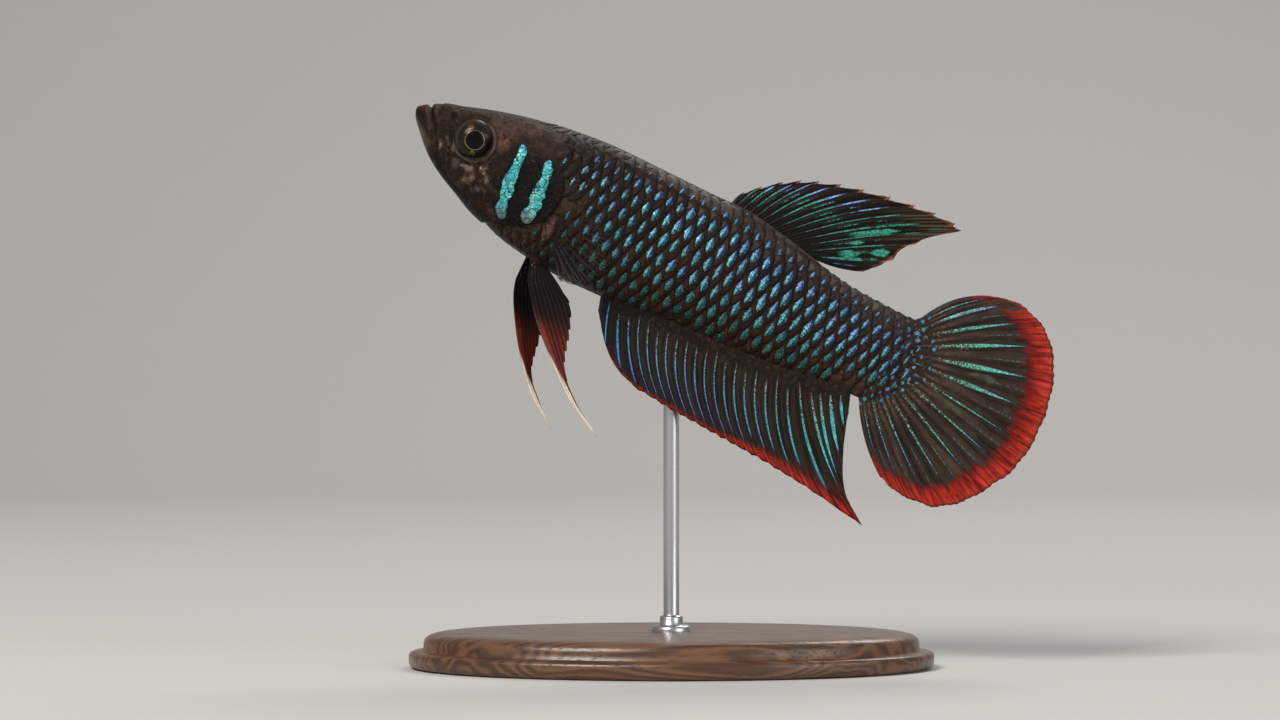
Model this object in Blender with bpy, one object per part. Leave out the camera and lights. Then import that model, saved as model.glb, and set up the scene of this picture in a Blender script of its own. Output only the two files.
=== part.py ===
"""A betta fish, life size, as a still museum model on a plain display stand.

The fish is laid out along its own long axis, in millimetres: a runs from the tip of the lower
jaw towards the tail, y from the left flank (negative) to the right one, h up.  The empty
"fish_axis" carries every part of it, nose-up, over the stand, whose underside is the floor.
"""
import math

import bmesh
import bpy
import numpy as np

MM = 0.001
GAP = 0.3                       # clear space between neighbouring pieces

# The fish on its stand
SNOUT_PLACE = (-22.3, 0.0, 49.1)
PITCH = math.radians(27.6)

# Body: (distance from the snout, back, belly, half the width), all in millimetres
BODY = (
    (0.0, 0.00, 0.00, 0.00),
    (1.05, 0.80, -1.65, 1.10),
    (2.1, 1.55, -2.67, 1.58),
    (3.5, 2.00, -3.73, 2.02),
    (6.1, 2.93, -5.00, 2.72),
    (9.6, 3.90, -6.16, 3.32),
    (13.1, 4.55, -6.95, 3.65),
    (17.5, 5.02, -7.25, 3.70),
    (21.9, 5.14, -7.05, 3.60),
    (26.3, 5.24, -6.50, 3.38),
    (29.3, 5.38, -6.20, 3.18),
    (33.3, 4.96, -5.94, 2.78),
    (37.7, 4.20, -5.56, 2.20),
    (42.0, 3.70, -5.00, 1.50),
    (45.6, 3.66, -4.50, 0.95),
    (50.0, 3.90, -4.25, 0.38),
)
WIDEST = 0.55                   # height of the widest line, as a share of the depth
# How full the sections are: (distance, power of the sine above the widest line, and below it)
FULLNESS = ((0.0, 0.95, 0.95), (9.6, 0.82, 0.85), (20.0, 0.95, 0.95), (34.0, 1.05, 1.2), (50.0, 1.0, 1.0))

# Rear edge of the head: (degrees from the nape round to the throat, distance from the snout)
GILL_EDGE = (
    (0, 10.9), (30, 11.6), (60, 12.8), (80, 14.4), (95, 15.0), (107, 14.9),
    (120, 14.4), (133, 13.0), (144, 11.7), (155, 10.3), (180, 9.5),
)
COVER_TOP = math.radians(57)    # the gill cover, round the section from the nape
COVER_FOOT = math.radians(150)
COVER_LENGTH = 4.6              # along the fish, at its longest
COVER_TIP = 0.9                 # and at its top and foot
COVER_THICK = 0.7
GILL_RADIUS = 3.5               # rough radius of the body there
STALK_START = 38.0              # where the trunk hands over to the tail stalk
STALK_END = 49.6                # middle of the rounded end that carries the tail fin
STALK_ROUND = 0.154             # how fast that end falls back above and below

EYE_CENTRE = (5.84, 2.1, -0.2)
EYE_SIZE = (1.75, 1.2, 1.75)
# Mouth slit from the lips to its corner, and on down the back of the lower jaw
JAW_LINE = ((0.75, 1.4), (3.0, -2.2), (5.5, -4.9), (5.9, -7.5))

FIN_THICK = 0.55
RING = 36                       # points round the body

# Each fin's free edge: (share of the base, distance, height) of the ray tips
DORSAL_BASE = (28.3, 37.3)
DORSAL_EDGE = (
    (0.00, 28.9, 6.9), (0.07, 30.0, 7.9), (0.16, 31.9, 9.5), (0.28, 34.2, 10.7), (0.42, 37.9, 11.8),
    (0.56, 42.4, 12.6), (0.68, 45.6, 12.9), (0.76, 47.5, 12.7), (0.83, 44.9, 10.4),
    (0.90, 43.6, 8.5), (0.95, 42.9, 6.8), (1.00, 41.4, 5.4),
)
DORSAL_RAYS = 14
DORSAL_BOW = 0.05               # how far rays bow forwards, as a share of their length; the last, backwards
ANAL_BASE = (21.9, 45.3)
ANAL_EDGE = (
    (0.00, 22.3, -8.4), (0.03, 23.6, -10.1), (0.065, 25.9, -12.1), (0.12, 28.7, -13.0),
    (0.305, 33.6, -13.25), (0.63, 42.1, -13.5), (0.77, 46.9, -13.9), (0.84, 51.6, -14.45),
    (0.87, 49.6, -13.2), (0.895, 48.4, -11.9), (0.92, 47.6, -10.5), (0.945, 46.8, -8.7),
    (0.97, 46.3, -7.4), (1.00, 45.9, -6.2),
)
ANAL_RAYS = 26
ANAL_BOW = 0.11                 # the same, fading out at the first and the last ray
TAIL_BASE = (4.2, -4.5)
TAIL_EDGE = (
    (0.00, 52.2, 8.7), (0.07, 54.6, 9.35), (0.14, 57.2, 8.75), (0.22, 59.0, 7.5), (0.30, 60.4, 5.4),
    (0.40, 61.25, 2.75), (0.50, 61.55, -0.2), (0.60, 61.3, -3.05), (0.70, 60.2, -5.8),
    (0.80, 58.3, -8.6), (0.88, 55.9, -10.25), (0.95, 53.0, -10.5), (1.00, 51.0, -9.95),
)
TAIL_RAYS = 14
TAIL_BOW = (0.1, 0.06)          # the highest ray upwards, and the lowest downwards
# Pectoral fin: its root on the flank and the rim of its fan, as (share, distance, height)
PECTORAL_ROOT = ((0.0, 15.6, -2.5), (1.0, 16.2, -5.2))
PECTORAL_EDGE = (
    (0.00, 19.0, -1.6), (0.25, 20.7, -3.2), (0.50, 21.2, -5.2), (0.75, 20.4, -7.1), (1.00, 18.0, -7.7),
)
PECTORAL_RAYS = 9
PECTORAL_FLARE = 0.36           # how far the fan swings out, for each millimetre of its length
# Pelvic fins: (share of the length, distance and height of the front ray, and of the rear edge)
PELVIC_LEFT = (
    (0.00, 14.9, -7.95, 17.2, -7.95), (0.15, 16.0, -9.4, 19.7, -8.85), (0.35, 17.95, -11.7, 20.95, -10.95),
    (0.60, 21.1, -14.45, 22.0, -14.0), (0.80, 24.0, -16.65, 24.45, -16.4), (1.00, 27.3, -18.35, 27.4, -17.95),
)
PELVIC_RIGHT = (
    (0.00, 14.3, -7.9, 16.0, -7.95), (0.15, 14.75, -9.9, 17.6, -9.5), (0.35, 16.4, -12.9, 18.8, -12.6),
    (0.60, 18.8, -16.0, 19.5, -15.7), (0.80, 20.9, -18.1, 21.3, -17.75), (1.00, 23.3, -19.65, 23.5, -19.3),
)
PELVIC_ROOT_Y = 0.9
PELVIC_SPLAY = 2.3

BASE_LENGTH = 46.0
BASE_WIDTH = 30.0
BASE_SIDES = 44
# Edge of the base from the foot to the top: (share of its half length and half width, height)
BASE_PROFILE = (
    (0.975, 0.0), (1.0, 0.25), (1.0, 1.3), (0.95, 1.6), (0.944, 2.35), (0.92, 2.95), (0.865, 3.2),
)
ROD_PLACE = (0.0, 1.6)
ROD_RADIUS = 0.7
ROD_TOP = 34.2
ROD_FOOT = 1.2                  # the rod stands in a hole that stops this far above the floor

# Colour, roughness and metallic value of each material
FINISHES = {
    "dark_skin": ((0.085, 0.055, 0.045), 0.38, 0.1),
    "scaled_flank": ((0.05, 0.14, 0.17), 0.32, 0.4),
    "gill_cover": ((0.03, 0.12, 0.13), 0.3, 0.4),
    "eye": ((0.05, 0.03, 0.02), 0.06, 0.0),
    "fin_membrane": ((0.13, 0.07, 0.055), 0.4, 0.0),
    "red_fin": ((0.4, 0.03, 0.02), 0.4, 0.0),
    "smoky_fin": ((0.2, 0.16, 0.13), 0.4, 0.0),
    "walnut": ((0.13, 0.065, 0.035), 0.4, 0.0),
    "brushed_steel": ((0.6, 0.6, 0.6), 0.3, 1.0),
}


def through(knots, x):
    """Smooth curve through knots (x, value, ...) that never overshoots them."""
    table = np.array(knots, dtype=float)
    xs, values = table[:, 0], table[:, 1:]
    steps = np.diff(xs)[:, None]
    slopes = np.diff(values, axis=0) / steps
    tangents = np.zeros_like(values)
    tangents[0], tangents[-1] = slopes[0], slopes[-1]
    before, after = slopes[:-1], slopes[1:]
    same_way = before * after > 0
    total = np.where(same_way, before + after, 1.0)
    tangents[1:-1] = np.where(same_way, 2.0 * before * after / total, 0.0)
    x = min(max(x, xs[0]), xs[-1])
    k = min(int(np.searchsorted(xs, x, side="right")) - 1, len(steps) - 1)
    step = steps[k]
    t = (x - xs[k]) / step
    start = (1 + 2 * t) * (1 - t) ** 2 * values[k] + t * (1 - t) ** 2 * step * tangents[k]
    end = t * t * (3 - 2 * t) * values[k + 1] + t * t * (t - 1) * step * tangents[k + 1]
    return start + end


# The body's profile is read against the root of the distance, which rounds the snout.
BODY_KNOTS = tuple((math.sqrt(row[0]),) + row[1:] for row in BODY)


def section(a):
    """Back, belly, half width, and the height of the widest line at a distance from the snout."""
    back, belly, half_width = through(BODY_KNOTS, math.sqrt(max(a, 0.0)))
    return back, belly, half_width, belly + WIDEST * (back - belly)


def body_point(a, angle, depth=0.0):
    """Point of the body's surface; the angle runs from the back down the left flank and round."""
    back, belly, half_width, middle = section(a)
    above, below = through(FULLNESS, a)
    cosine, sine = math.cos(angle), math.sin(angle)
    reach = (back - depth - middle) if cosine > 0 else (middle - belly - depth)
    power = above if cosine > 0 else below
    side = math.copysign(abs(sine) ** power, sine) * max(half_width - depth, 0.0)
    return a, -side, middle + reach * cosine


def flank_y(a, h):
    """How far out the flank lies at a distance from the snout and a height."""
    back, belly, half_width, middle = section(a)
    above, below = through(FULLNESS, a)
    reach = (back - middle) if h > middle else (middle - belly)
    cosine = min(1.0, abs(h - middle) / reach)
    return half_width * math.sqrt(1.0 - cosine * cosine) ** (above if h > middle else below)


def gill_edge(angle):
    """Distance of the head's rear edge, the same on both flanks."""
    round_angle = math.degrees(math.acos(max(-1.0, min(1.0, math.cos(angle)))))
    return float(through(GILL_EDGE, round_angle)[0])


def stalk_end(h):
    """Distance of the rounded rear end of the tail stalk at a height."""
    return STALK_END - STALK_ROUND * h * h + 0.15 * h


def stalk_end_at(angle):
    return stalk_end(body_point(STALK_END - 2.5, angle)[2])


def grid_mesh(columns, rows, place):
    """Grid of faces whose vertex at column share u and row number r goes to place(u, r)."""
    bm = bmesh.new()
    bmesh.ops.create_grid(bm, x_segments=columns, y_segments=rows, size=0.5)
    for vert in bm.verts:
        u = vert.co.x + 0.5
        row = round((vert.co.y + 0.5) * rows)
        vert.co = [MM * value for value in place(u, row)]
    return bm


def close_up(bm):
    """Weld the seam of a wrapped grid, and its poles if it has them, and turn its faces out."""
    bmesh.ops.remove_doubles(bm, verts=bm.verts, dist=1e-6)
    bmesh.ops.dissolve_degenerate(bm, dist=1e-6, edges=bm.edges)
    bmesh.ops.recalc_face_normals(bm, faces=bm.faces)
    return bm


def body_loft(start, end, rings, front_tip, rear_tip):
    """Closed length of the body between two edges, each a distance for every angle."""
    def place(u, row):
        if row == 0:
            return front_tip
        if row == rings + 2:
            return rear_tip
        angle = 2.0 * math.pi * u
        share = (row - 1) / rings
        first, last = start(angle), end(angle)
        return body_point(first + (last - first) * share, angle)
    return close_up(grid_mesh(RING, rings + 2, place))


def head_loft():
    """The whole head, from the tip of the lower jaw to the gill edge, before it is parted."""
    rings = 13
    def place(u, row):
        if row == 0:
            return 0.0, 0.0, 0.0
        if row == rings + 1:
            return gill_centre(0.0)
        angle = 2.0 * math.pi * u
        return body_point(gill_edge(angle) * (row / rings) ** 1.7, angle)
    return close_up(grid_mesh(RING, rings + 1, place))


def gill_centre(shift):
    """Middle of the rear face of the head, or of the front face of the trunk."""
    a = gill_edge(math.pi / 2) - 1.6
    return a + shift, 0.0, section(a)[3]


def cover_patch(side, margin, outer, inner, overrun):
    """Curved plate on the gill cover's place, between two depths below the body's surface."""
    slack = margin / GILL_RADIUS
    columns, rows = 12, 5
    bm = bmesh.new()
    bmesh.ops.create_grid(bm, x_segments=columns, y_segments=rows, size=0.5)
    shares = {tuple(vert.co): (vert.co.x + 0.5, vert.co.y + 0.5) for vert in bm.verts}
    skin = list(bm.verts)
    made = bmesh.ops.extrude_face_region(bm, geom=bm.faces[:])["geom"]
    core = [item for item in made if isinstance(item, bmesh.types.BMVert)]

    def place(verts, depth):
        for vert in verts:
            u, v = shares[tuple(vert.co)]
            angle = COVER_TOP - slack + (COVER_FOOT - COVER_TOP + 2 * slack) * u
            inside = min(max((angle - COVER_TOP) / (COVER_FOOT - COVER_TOP), 0.0), 1.0)
            length = COVER_TIP + (COVER_LENGTH - COVER_TIP) * math.sin(math.pi * inside) ** 0.6
            rear = gill_edge(angle) + overrun
            front = gill_edge(angle) - length - margin
            a, y, h = body_point(front + (rear - front) * v, angle, depth)
            vert.co = (MM * a, MM * y * side, MM * h)

    place(core, inner)
    place(skin, outer)
    bmesh.ops.recalc_face_normals(bm, faces=bm.faces)
    return bm


def prism(outline, half_width):
    """Block that fills an outline of (distance, height) points from side to side."""
    bm = bmesh.new()
    verts = [bm.verts.new((MM * a, -MM * half_width, MM * h)) for a, h in outline]
    face = bm.faces.new(verts)
    made = bmesh.ops.extrude_face_region(bm, geom=[face])["geom"]
    far = [item for item in made if isinstance(item, bmesh.types.BMVert)]
    bmesh.ops.translate(bm, verts=far, vec=(0.0, 2 * MM * half_width, 0.0))
    bmesh.ops.recalc_face_normals(bm, faces=bm.faces)
    return bm


def jaw_region(shift):
    """Everything in front of and below the jaw line, moved back along the body by shift."""
    line = [(a + shift, h + 0.6 * shift) for a, h in JAW_LINE]
    return prism([(-3.0, 4.5)] + line + [(line[-1][0], -9.0), (-3.0, -9.0)], 4.5)


def ellipsoid(sizes, columns, rows):
    bm = bmesh.new()
    bmesh.ops.create_uvsphere(bm, u_segments=columns, v_segments=rows, radius=MM)
    bmesh.ops.scale(bm, vec=sizes, verts=bm.verts)
    return bm


def fin_grid(rays, rows, root, tip, bow, sway, notch=0.3):
    """Fin spread between two curves: a column on each ray, and one in each notch between rays.

    root(u) and tip(u) give (distance, y, height); a ray bows by the share bow(u) of its length,
    to the left of its own way when seen from the fish's left, and sway(u, share) moves it sideways.
    """
    columns = 2 * rays - 2

    def place(u, row):
        share = row / rows
        start, end = np.array(root(u)), np.array(tip(u))
        length = np.linalg.norm(end - start)
        if round(u * columns) % 2:
            end = start + (end - start) * (1.0 - notch / length)
        along = (end - start) / max(length, 1e-6)
        across = np.array((-along[2], 0.0, along[0]))
        point = start + (end - start) * share + across * bow(u) * length * 4 * share * (1 - share)
        return point[0], point[1] + sway(u, share), point[2]
    return grid_mesh(columns, rows, place)


def finish(name):
    colour, roughness, metallic = FINISHES[name]
    material = bpy.data.materials.new(name)
    material.use_nodes = True
    shader = material.node_tree.nodes["Principled BSDF"]
    shader.inputs["Base Color"].default_value = (*colour, 1.0)
    shader.inputs["Roughness"].default_value = roughness
    shader.inputs["Metallic"].default_value = metallic
    return material


def add(name, bm, material, parent=None):
    """Object from a bmesh, smooth apart from its real edges."""
    mesh = bpy.data.meshes.new(name)
    bm.to_mesh(mesh)
    bm.free()
    mesh.shade_smooth()
    mesh.set_sharp_from_angle(angle=math.radians(40))
    piece = bpy.data.objects.new(name, mesh)
    bpy.context.scene.collection.objects.link(piece)
    if material:
        mesh.materials.append(material)
    piece.parent = parent
    return piece


def cutter(name, bm, parent=None):
    """Hidden shape that only cuts others."""
    piece = add(name, bm, None, parent)
    piece.hide_render = True
    piece.display_type = "WIRE"
    return piece


def cut(piece, tool, operation="DIFFERENCE"):
    boolean = piece.modifiers.new(tool.name, "BOOLEAN")
    boolean.operation = operation
    boolean.solver = "EXACT"
    boolean.object = tool


def thicken(piece):
    solid = piece.modifiers.new("thickness", "SOLIDIFY")
    solid.thickness = MM * FIN_THICK
    solid.offset = 0.0


def make_head(fish, skin, cover_material, eye_material):
    """Head, lower jaw, gill covers and eyes."""
    head = add("head", head_loft(), skin, fish)
    jaw = add("lower_jaw", head_loft(), skin, fish)
    cut(jaw, cutter("jaw_block", jaw_region(-GAP / 2), fish), "INTERSECT")
    cut(head, cutter("jaw_space", jaw_region(GAP / 2), fish))
    for side, word in ((1, "left"), (-1, "right")):
        add("gill_cover_" + word, cover_patch(side, 0.0, 0.0, COVER_THICK, 0.0), cover_material, fish)
        cut(head, cutter("cover_space_" + word, cover_patch(side, GAP, -1.0, COVER_THICK + GAP, 1.0), fish))
        eye = add("eye_" + word, ellipsoid(EYE_SIZE, 16, 10), eye_material, fish)
        socket = cutter("socket_" + word, ellipsoid([size + GAP for size in EYE_SIZE], 20, 12), fish)
        for piece in (eye, socket):
            piece.location = (MM * EYE_CENTRE[0], -side * MM * EYE_CENTRE[1], MM * EYE_CENTRE[2])
        cut(head, socket)


def make_trunk(fish, skin):
    """Trunk from behind the head to the tail stalk, with a blind hole for the rod, and the stalk."""
    front = gill_centre(GAP)
    middle = section(STALK_START)[3]
    trunk = add("trunk", body_loft(lambda angle: gill_edge(angle) + GAP,
                                   lambda angle: STALK_START - GAP / 2, 13,
                                   front, (STALK_START - GAP / 2, 0.0, middle)), skin, fish)
    hole = bmesh.new()
    depth = MM * ROD_TOP
    bmesh.ops.create_cone(hole, cap_ends=True, segments=20, depth=depth,
                          radius1=MM * (ROD_RADIUS + GAP), radius2=MM * (ROD_RADIUS + GAP))
    drill = cutter("rod_hole", hole)
    drill.location = (MM * ROD_PLACE[0], MM * ROD_PLACE[1], MM * (ROD_TOP + GAP) - depth / 2)
    cut(trunk, drill)
    add("tail_stalk", body_loft(lambda angle: STALK_START + GAP / 2, stalk_end_at, 7,
                                (STALK_START + GAP / 2, 0.0, middle),
                                (STALK_END - 0.05, 0.0, 0.0)), skin, fish)


def make_median_fins(fish, material):
    """Dorsal, anal and tail fins, on the body's middle plane."""
    def on_back(u):
        a = DORSAL_BASE[0] + (DORSAL_BASE[1] - DORSAL_BASE[0]) * u
        return a, 0.0, section(a)[0] + GAP

    def on_belly(u):
        a = ANAL_BASE[0] + (ANAL_BASE[1] - ANAL_BASE[0]) * u
        return a, 0.0, section(a)[1] - GAP

    def on_stalk(u):
        h = TAIL_BASE[0] + (TAIL_BASE[1] - TAIL_BASE[0]) * u
        return stalk_end(h) + GAP + 0.1, 0.0, h

    def edge(knots):
        def tip(u):
            a, h = through(knots, u)
            return a, 0.0, h
        return tip

    dorsal = fin_grid(DORSAL_RAYS, 6, on_back, edge(DORSAL_EDGE), lambda u: DORSAL_BOW * (1.0 - 2.0 * u ** 6),
                      lambda u, share: 0.5 * share * share * math.sin(5.0 * u + 1.0))
    anal = fin_grid(ANAL_RAYS, 5, on_belly, edge(ANAL_EDGE),
                    lambda u: -ANAL_BOW * (1.0 - (1.0 - u) ** 8) * (1.0 - u ** 6),
                    lambda u, share: -0.25 * share * share * math.sin(9.0 * u + 0.8))
    tail = fin_grid(TAIL_RAYS, 7, on_stalk, edge(TAIL_EDGE),
                    lambda u: TAIL_BOW[0] * (1.0 - u) ** 8 - TAIL_BOW[1] * u ** 8,
                    lambda u, share: 0.8 * share * share * math.sin(6.0 * u + 0.4))
    for name, shape in (("dorsal_fin", dorsal), ("anal_fin", anal), ("caudal_fin", tail)):
        thicken(add(name, shape, material, fish))


def make_paired_fins(fish, smoky, red):
    """Pectoral fins folded back along the flanks, and the long pelvic fins below."""
    for side, word, pelvic in ((-1, "left", PELVIC_LEFT), (1, "right", PELVIC_RIGHT)):
        def root(u):
            a, h = through(PECTORAL_ROOT, u)
            return a, side * (flank_y(a, h) + GAP + FIN_THICK / 2 + 0.1), h

        def tip(u):
            a, h = through(PECTORAL_EDGE, u)
            start = np.array(root(u))
            reach = math.hypot(a - start[0], h - start[2])
            return a, start[1] + side * PECTORAL_FLARE * reach, h

        thicken(add("pectoral_fin_" + word, fin_grid(PECTORAL_RAYS, 5, root, tip, lambda u: 0.0,
                                                     lambda u, share: 0.0, notch=0.15), smoky, fish))

        def blade(u, row):
            share = row / 12
            front_a, front_h, rear_a, rear_h = through(pelvic, share)
            y = side * (PELVIC_ROOT_Y + PELVIC_SPLAY * share ** 1.3 + 0.25 * u * math.sin(math.pi * share))
            return front_a + (rear_a - front_a) * u, y, front_h + (rear_h - front_h) * u

        thicken(add("pelvic_fin_" + word, grid_mesh(3, 12, blade), red, fish))


def make_stand(walnut, steel):
    """Oval base with a stepped rim, and one upright rod that stands in it."""
    def place(u, row):
        share, height = BASE_PROFILE[row]
        angle = 2.0 * math.pi * u
        return BASE_LENGTH / 2 * share * math.cos(angle), BASE_WIDTH / 2 * share * math.sin(angle), height

    oval = close_up(grid_mesh(BASE_SIDES, len(BASE_PROFILE) - 1, place))
    bmesh.ops.holes_fill(oval, edges=[edge for edge in oval.edges if edge.is_boundary], sides=0)
    bmesh.ops.recalc_face_normals(oval, faces=oval.faces)
    base = add("stand_base", oval, walnut)

    hole = bmesh.new()
    bmesh.ops.create_cone(hole, cap_ends=True, segments=20, depth=MM * 6.0,
                          radius1=MM * (ROD_RADIUS + GAP), radius2=MM * (ROD_RADIUS + GAP))
    drill = cutter("rod_seat", hole)
    drill.location = (MM * ROD_PLACE[0], MM * ROD_PLACE[1], MM * (ROD_FOOT + 3.0))
    cut(base, drill)

    shaft = bmesh.new()
    foot = ROD_FOOT + GAP
    bmesh.ops.create_cone(shaft, cap_ends=True, segments=20, depth=MM * (ROD_TOP - foot),
                          radius1=MM * ROD_RADIUS, radius2=MM * ROD_RADIUS)
    rod = add("stand_rod", shaft, steel)
    rod.location = (MM * ROD_PLACE[0], MM * ROD_PLACE[1], MM * (ROD_TOP + foot) / 2)


def main():
    for item in list(bpy.context.scene.objects):
        bpy.data.objects.remove(item, do_unlink=True)
    materials = {name: finish(name) for name in FINISHES}
    fish = bpy.data.objects.new("fish_axis", None)
    fish.location = [MM * value for value in SNOUT_PLACE]
    fish.rotation_euler = (0.0, PITCH, 0.0)
    bpy.context.scene.collection.objects.link(fish)
    make_head(fish, materials["dark_skin"], materials["gill_cover"], materials["eye"])
    make_trunk(fish, materials["scaled_flank"])
    make_median_fins(fish, materials["fin_membrane"])
    make_paired_fins(fish, materials["smoky_fin"], materials["red_fin"])
    make_stand(materials["walnut"], materials["brushed_steel"])


main()
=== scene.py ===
"""Looks of a life-size betta fish model: skin, scales, fins, eyes, stand and studio.

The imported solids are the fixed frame.  Everything on the fish is laid out in its own frame, in
millimetres: a runs from the tip of the lower jaw towards the tail, y from the left flank
(negative) to the right one, h up; to_world() carries it, nose-up, over the stand.
"""
import math

import bmesh
import bpy
import numpy as np
from bpy.props import FloatProperty, FloatVectorProperty, IntProperty, PointerProperty
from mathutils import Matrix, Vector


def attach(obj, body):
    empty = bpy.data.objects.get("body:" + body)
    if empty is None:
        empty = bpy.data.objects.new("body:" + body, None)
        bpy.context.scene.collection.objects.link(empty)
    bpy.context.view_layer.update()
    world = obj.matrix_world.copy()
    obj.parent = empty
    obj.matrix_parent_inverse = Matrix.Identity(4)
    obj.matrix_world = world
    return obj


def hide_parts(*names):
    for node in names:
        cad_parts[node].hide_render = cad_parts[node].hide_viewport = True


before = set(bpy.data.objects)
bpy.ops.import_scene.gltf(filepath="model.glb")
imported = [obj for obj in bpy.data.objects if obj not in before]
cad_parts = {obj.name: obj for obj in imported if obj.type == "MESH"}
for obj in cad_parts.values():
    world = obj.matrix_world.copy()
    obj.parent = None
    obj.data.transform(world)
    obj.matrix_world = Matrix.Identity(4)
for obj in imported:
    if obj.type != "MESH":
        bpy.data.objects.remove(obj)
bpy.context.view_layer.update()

bl_info = {
    "name": "Betta fish model",
    "version": (1, 0, 0),
    "blender": (4, 5, 0),
    "location": "3D View > Sidebar > Betta",
    "description": "Skin, scales, fins, eyes, stand and studio of a life-size betta fish model",
    "category": "Add Mesh",
}

MM = 0.001
BODY = "root"

# The fish over its stand, as in the solids
SNOUT_PLACE = (-0.0223, 0.0, 0.0491)
PITCH = math.radians(27.6)

# Body: (distance from the snout, back, belly, half the width)
PROFILE = (
    (0.0, 0.00, 0.00, 0.00),
    (1.05, 0.80, -1.65, 1.10),
    (2.1, 1.55, -2.67, 1.58),
    (3.5, 2.00, -3.73, 2.02),
    (6.1, 2.93, -5.00, 2.72),
    (9.6, 3.90, -6.16, 3.32),
    (13.1, 4.55, -6.95, 3.65),
    (17.5, 5.02, -7.25, 3.70),
    (21.9, 5.14, -7.05, 3.60),
    (26.3, 5.24, -6.50, 3.38),
    (29.3, 5.38, -6.20, 3.18),
    (33.3, 4.96, -5.94, 2.78),
    (37.7, 4.20, -5.56, 2.20),
    (42.0, 3.70, -5.00, 1.50),
    (45.6, 3.66, -4.50, 0.95),
    (50.0, 3.90, -4.25, 0.38),
)
# Share of the height at which a section is widest
WIDEST = 0.55
# Section: (distance, power of the part above its widest height, power of the part below)
FULLNESS = ((0.0, 0.95, 0.95), (9.6, 0.82, 0.85), (20.0, 0.95, 0.95), (34.0, 1.05, 1.2), (50.0, 1.0, 1.0))
# Rear edge of head and gill covers: (degrees from the back, distance)
GILL_EDGE = (
    (0, 10.9), (30, 11.6), (60, 12.8), (80, 14.4), (95, 15.0), (107, 14.9),
    (120, 14.4), (133, 13.0), (144, 11.7), (155, 10.3), (180, 9.5),
)
STALK_END = 49.6
STALK_ROUND = 0.154
# Length that the table of girths and the bake map of the coat cover
COAT_LENGTH = 52.0
EYE_CENTRE = (5.84, 2.1, -0.2)
EYE_SIZE = (1.75, 1.2, 1.75)

# Fins: where their rays start, and their edges as (share of the base, distance, height)
DORSAL_BASE = (28.3, 37.3)
DORSAL_EDGE = (
    (0.00, 28.9, 6.9), (0.07, 30.0, 7.9), (0.16, 31.9, 9.5), (0.28, 34.2, 10.7), (0.42, 37.9, 11.8),
    (0.56, 42.4, 12.6), (0.68, 45.6, 12.9), (0.76, 47.5, 12.7), (0.83, 44.9, 10.4),
    (0.90, 43.6, 8.5), (0.95, 42.9, 6.8), (1.00, 41.4, 5.4),
)
ANAL_BASE = (21.9, 45.3)
ANAL_EDGE = (
    (0.00, 22.3, -8.4), (0.03, 23.6, -10.1), (0.065, 25.9, -12.1), (0.12, 28.7, -13.0),
    (0.305, 33.6, -13.25), (0.63, 42.1, -13.5), (0.77, 46.9, -13.9), (0.84, 51.6, -14.45),
    (0.87, 49.6, -13.2), (0.895, 48.4, -11.9), (0.92, 47.6, -10.5), (0.945, 46.8, -8.7),
    (0.97, 46.3, -7.4), (1.00, 45.9, -6.2),
)
TAIL_BASE = (4.2, -4.5)
TAIL_EDGE = (
    (0.00, 52.2, 8.7), (0.07, 54.6, 9.35), (0.14, 57.2, 8.75), (0.22, 59.0, 7.5), (0.30, 60.4, 5.4),
    (0.40, 61.25, 2.75), (0.50, 61.55, -0.2), (0.60, 61.3, -3.05), (0.70, 60.2, -5.8),
    (0.80, 58.3, -8.6), (0.88, 55.9, -10.25), (0.95, 53.0, -10.5), (1.00, 51.0, -9.95),
)
DORSAL_BOW = 0.05
ANAL_BOW = 0.11
TAIL_BOW = (0.1, 0.06)
PECTORAL_ROOT = ((0.0, 15.6, -2.5), (1.0, 16.2, -5.2))
PECTORAL_EDGE = (
    (0.00, 19.0, -1.6), (0.25, 20.7, -3.2), (0.50, 21.2, -5.2), (0.75, 20.4, -7.1), (1.00, 18.0, -7.7),
)
PECTORAL_FLARE = 0.36
# Pelvic fins: (share of the length, distance and height of the front edge, and of the rear edge)
PELVIC_LEFT = (
    (0.00, 14.9, -7.95, 17.2, -7.95), (0.15, 16.0, -9.4, 19.7, -8.85), (0.35, 17.95, -11.7, 20.95, -10.95),
    (0.60, 21.1, -14.45, 22.0, -14.0), (0.80, 24.0, -16.65, 24.45, -16.4), (1.00, 27.3, -18.35, 27.4, -17.95),
)
PELVIC_RIGHT = (
    (0.00, 14.3, -7.9, 16.0, -7.95), (0.15, 14.75, -9.9, 17.6, -9.5), (0.35, 16.4, -12.9, 18.8, -12.6),
    (0.60, 18.8, -16.0, 19.5, -15.7), (0.80, 20.9, -18.1, 21.3, -17.75), (1.00, 23.3, -19.65, 23.5, -19.3),
)


# ---------------------------------------------------------------- what a user would change

def millimetres(name, description, default):
    return FloatProperty(name=name, description=description, default=default * MM, unit="LENGTH", precision=6)


def colour(name, description, *default):
    return FloatVectorProperty(name=name, description=description, default=default, subtype="COLOR")


class BettaSizes(bpy.types.PropertyGroup):
    """Sizes of the coat, the fins and the studio"""
    coat_depth: millimetres("Coat depth", "How far the skin under the scales lies inside the solids", 0.12)
    scale_step: millimetres("Scale spacing", "From one scale to the next along a row", 1.16)
    row_step: millimetres("Row spacing", "From one row of scales to the next, round the body", 1.6)
    membrane: millimetres("Fin membrane", "Thickness of the fins between their rays", 0.09)
    ray: millimetres("Fin ray", "Thickness of the fins at their rays", 0.26)
    view_distance: FloatProperty(
        name="Camera distance", description="From the camera to the fish's middle plane",
        default=0.35, unit="LENGTH")
    seed: IntProperty(name="Seed", description="Start of the small irregularities", default=7)


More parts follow.
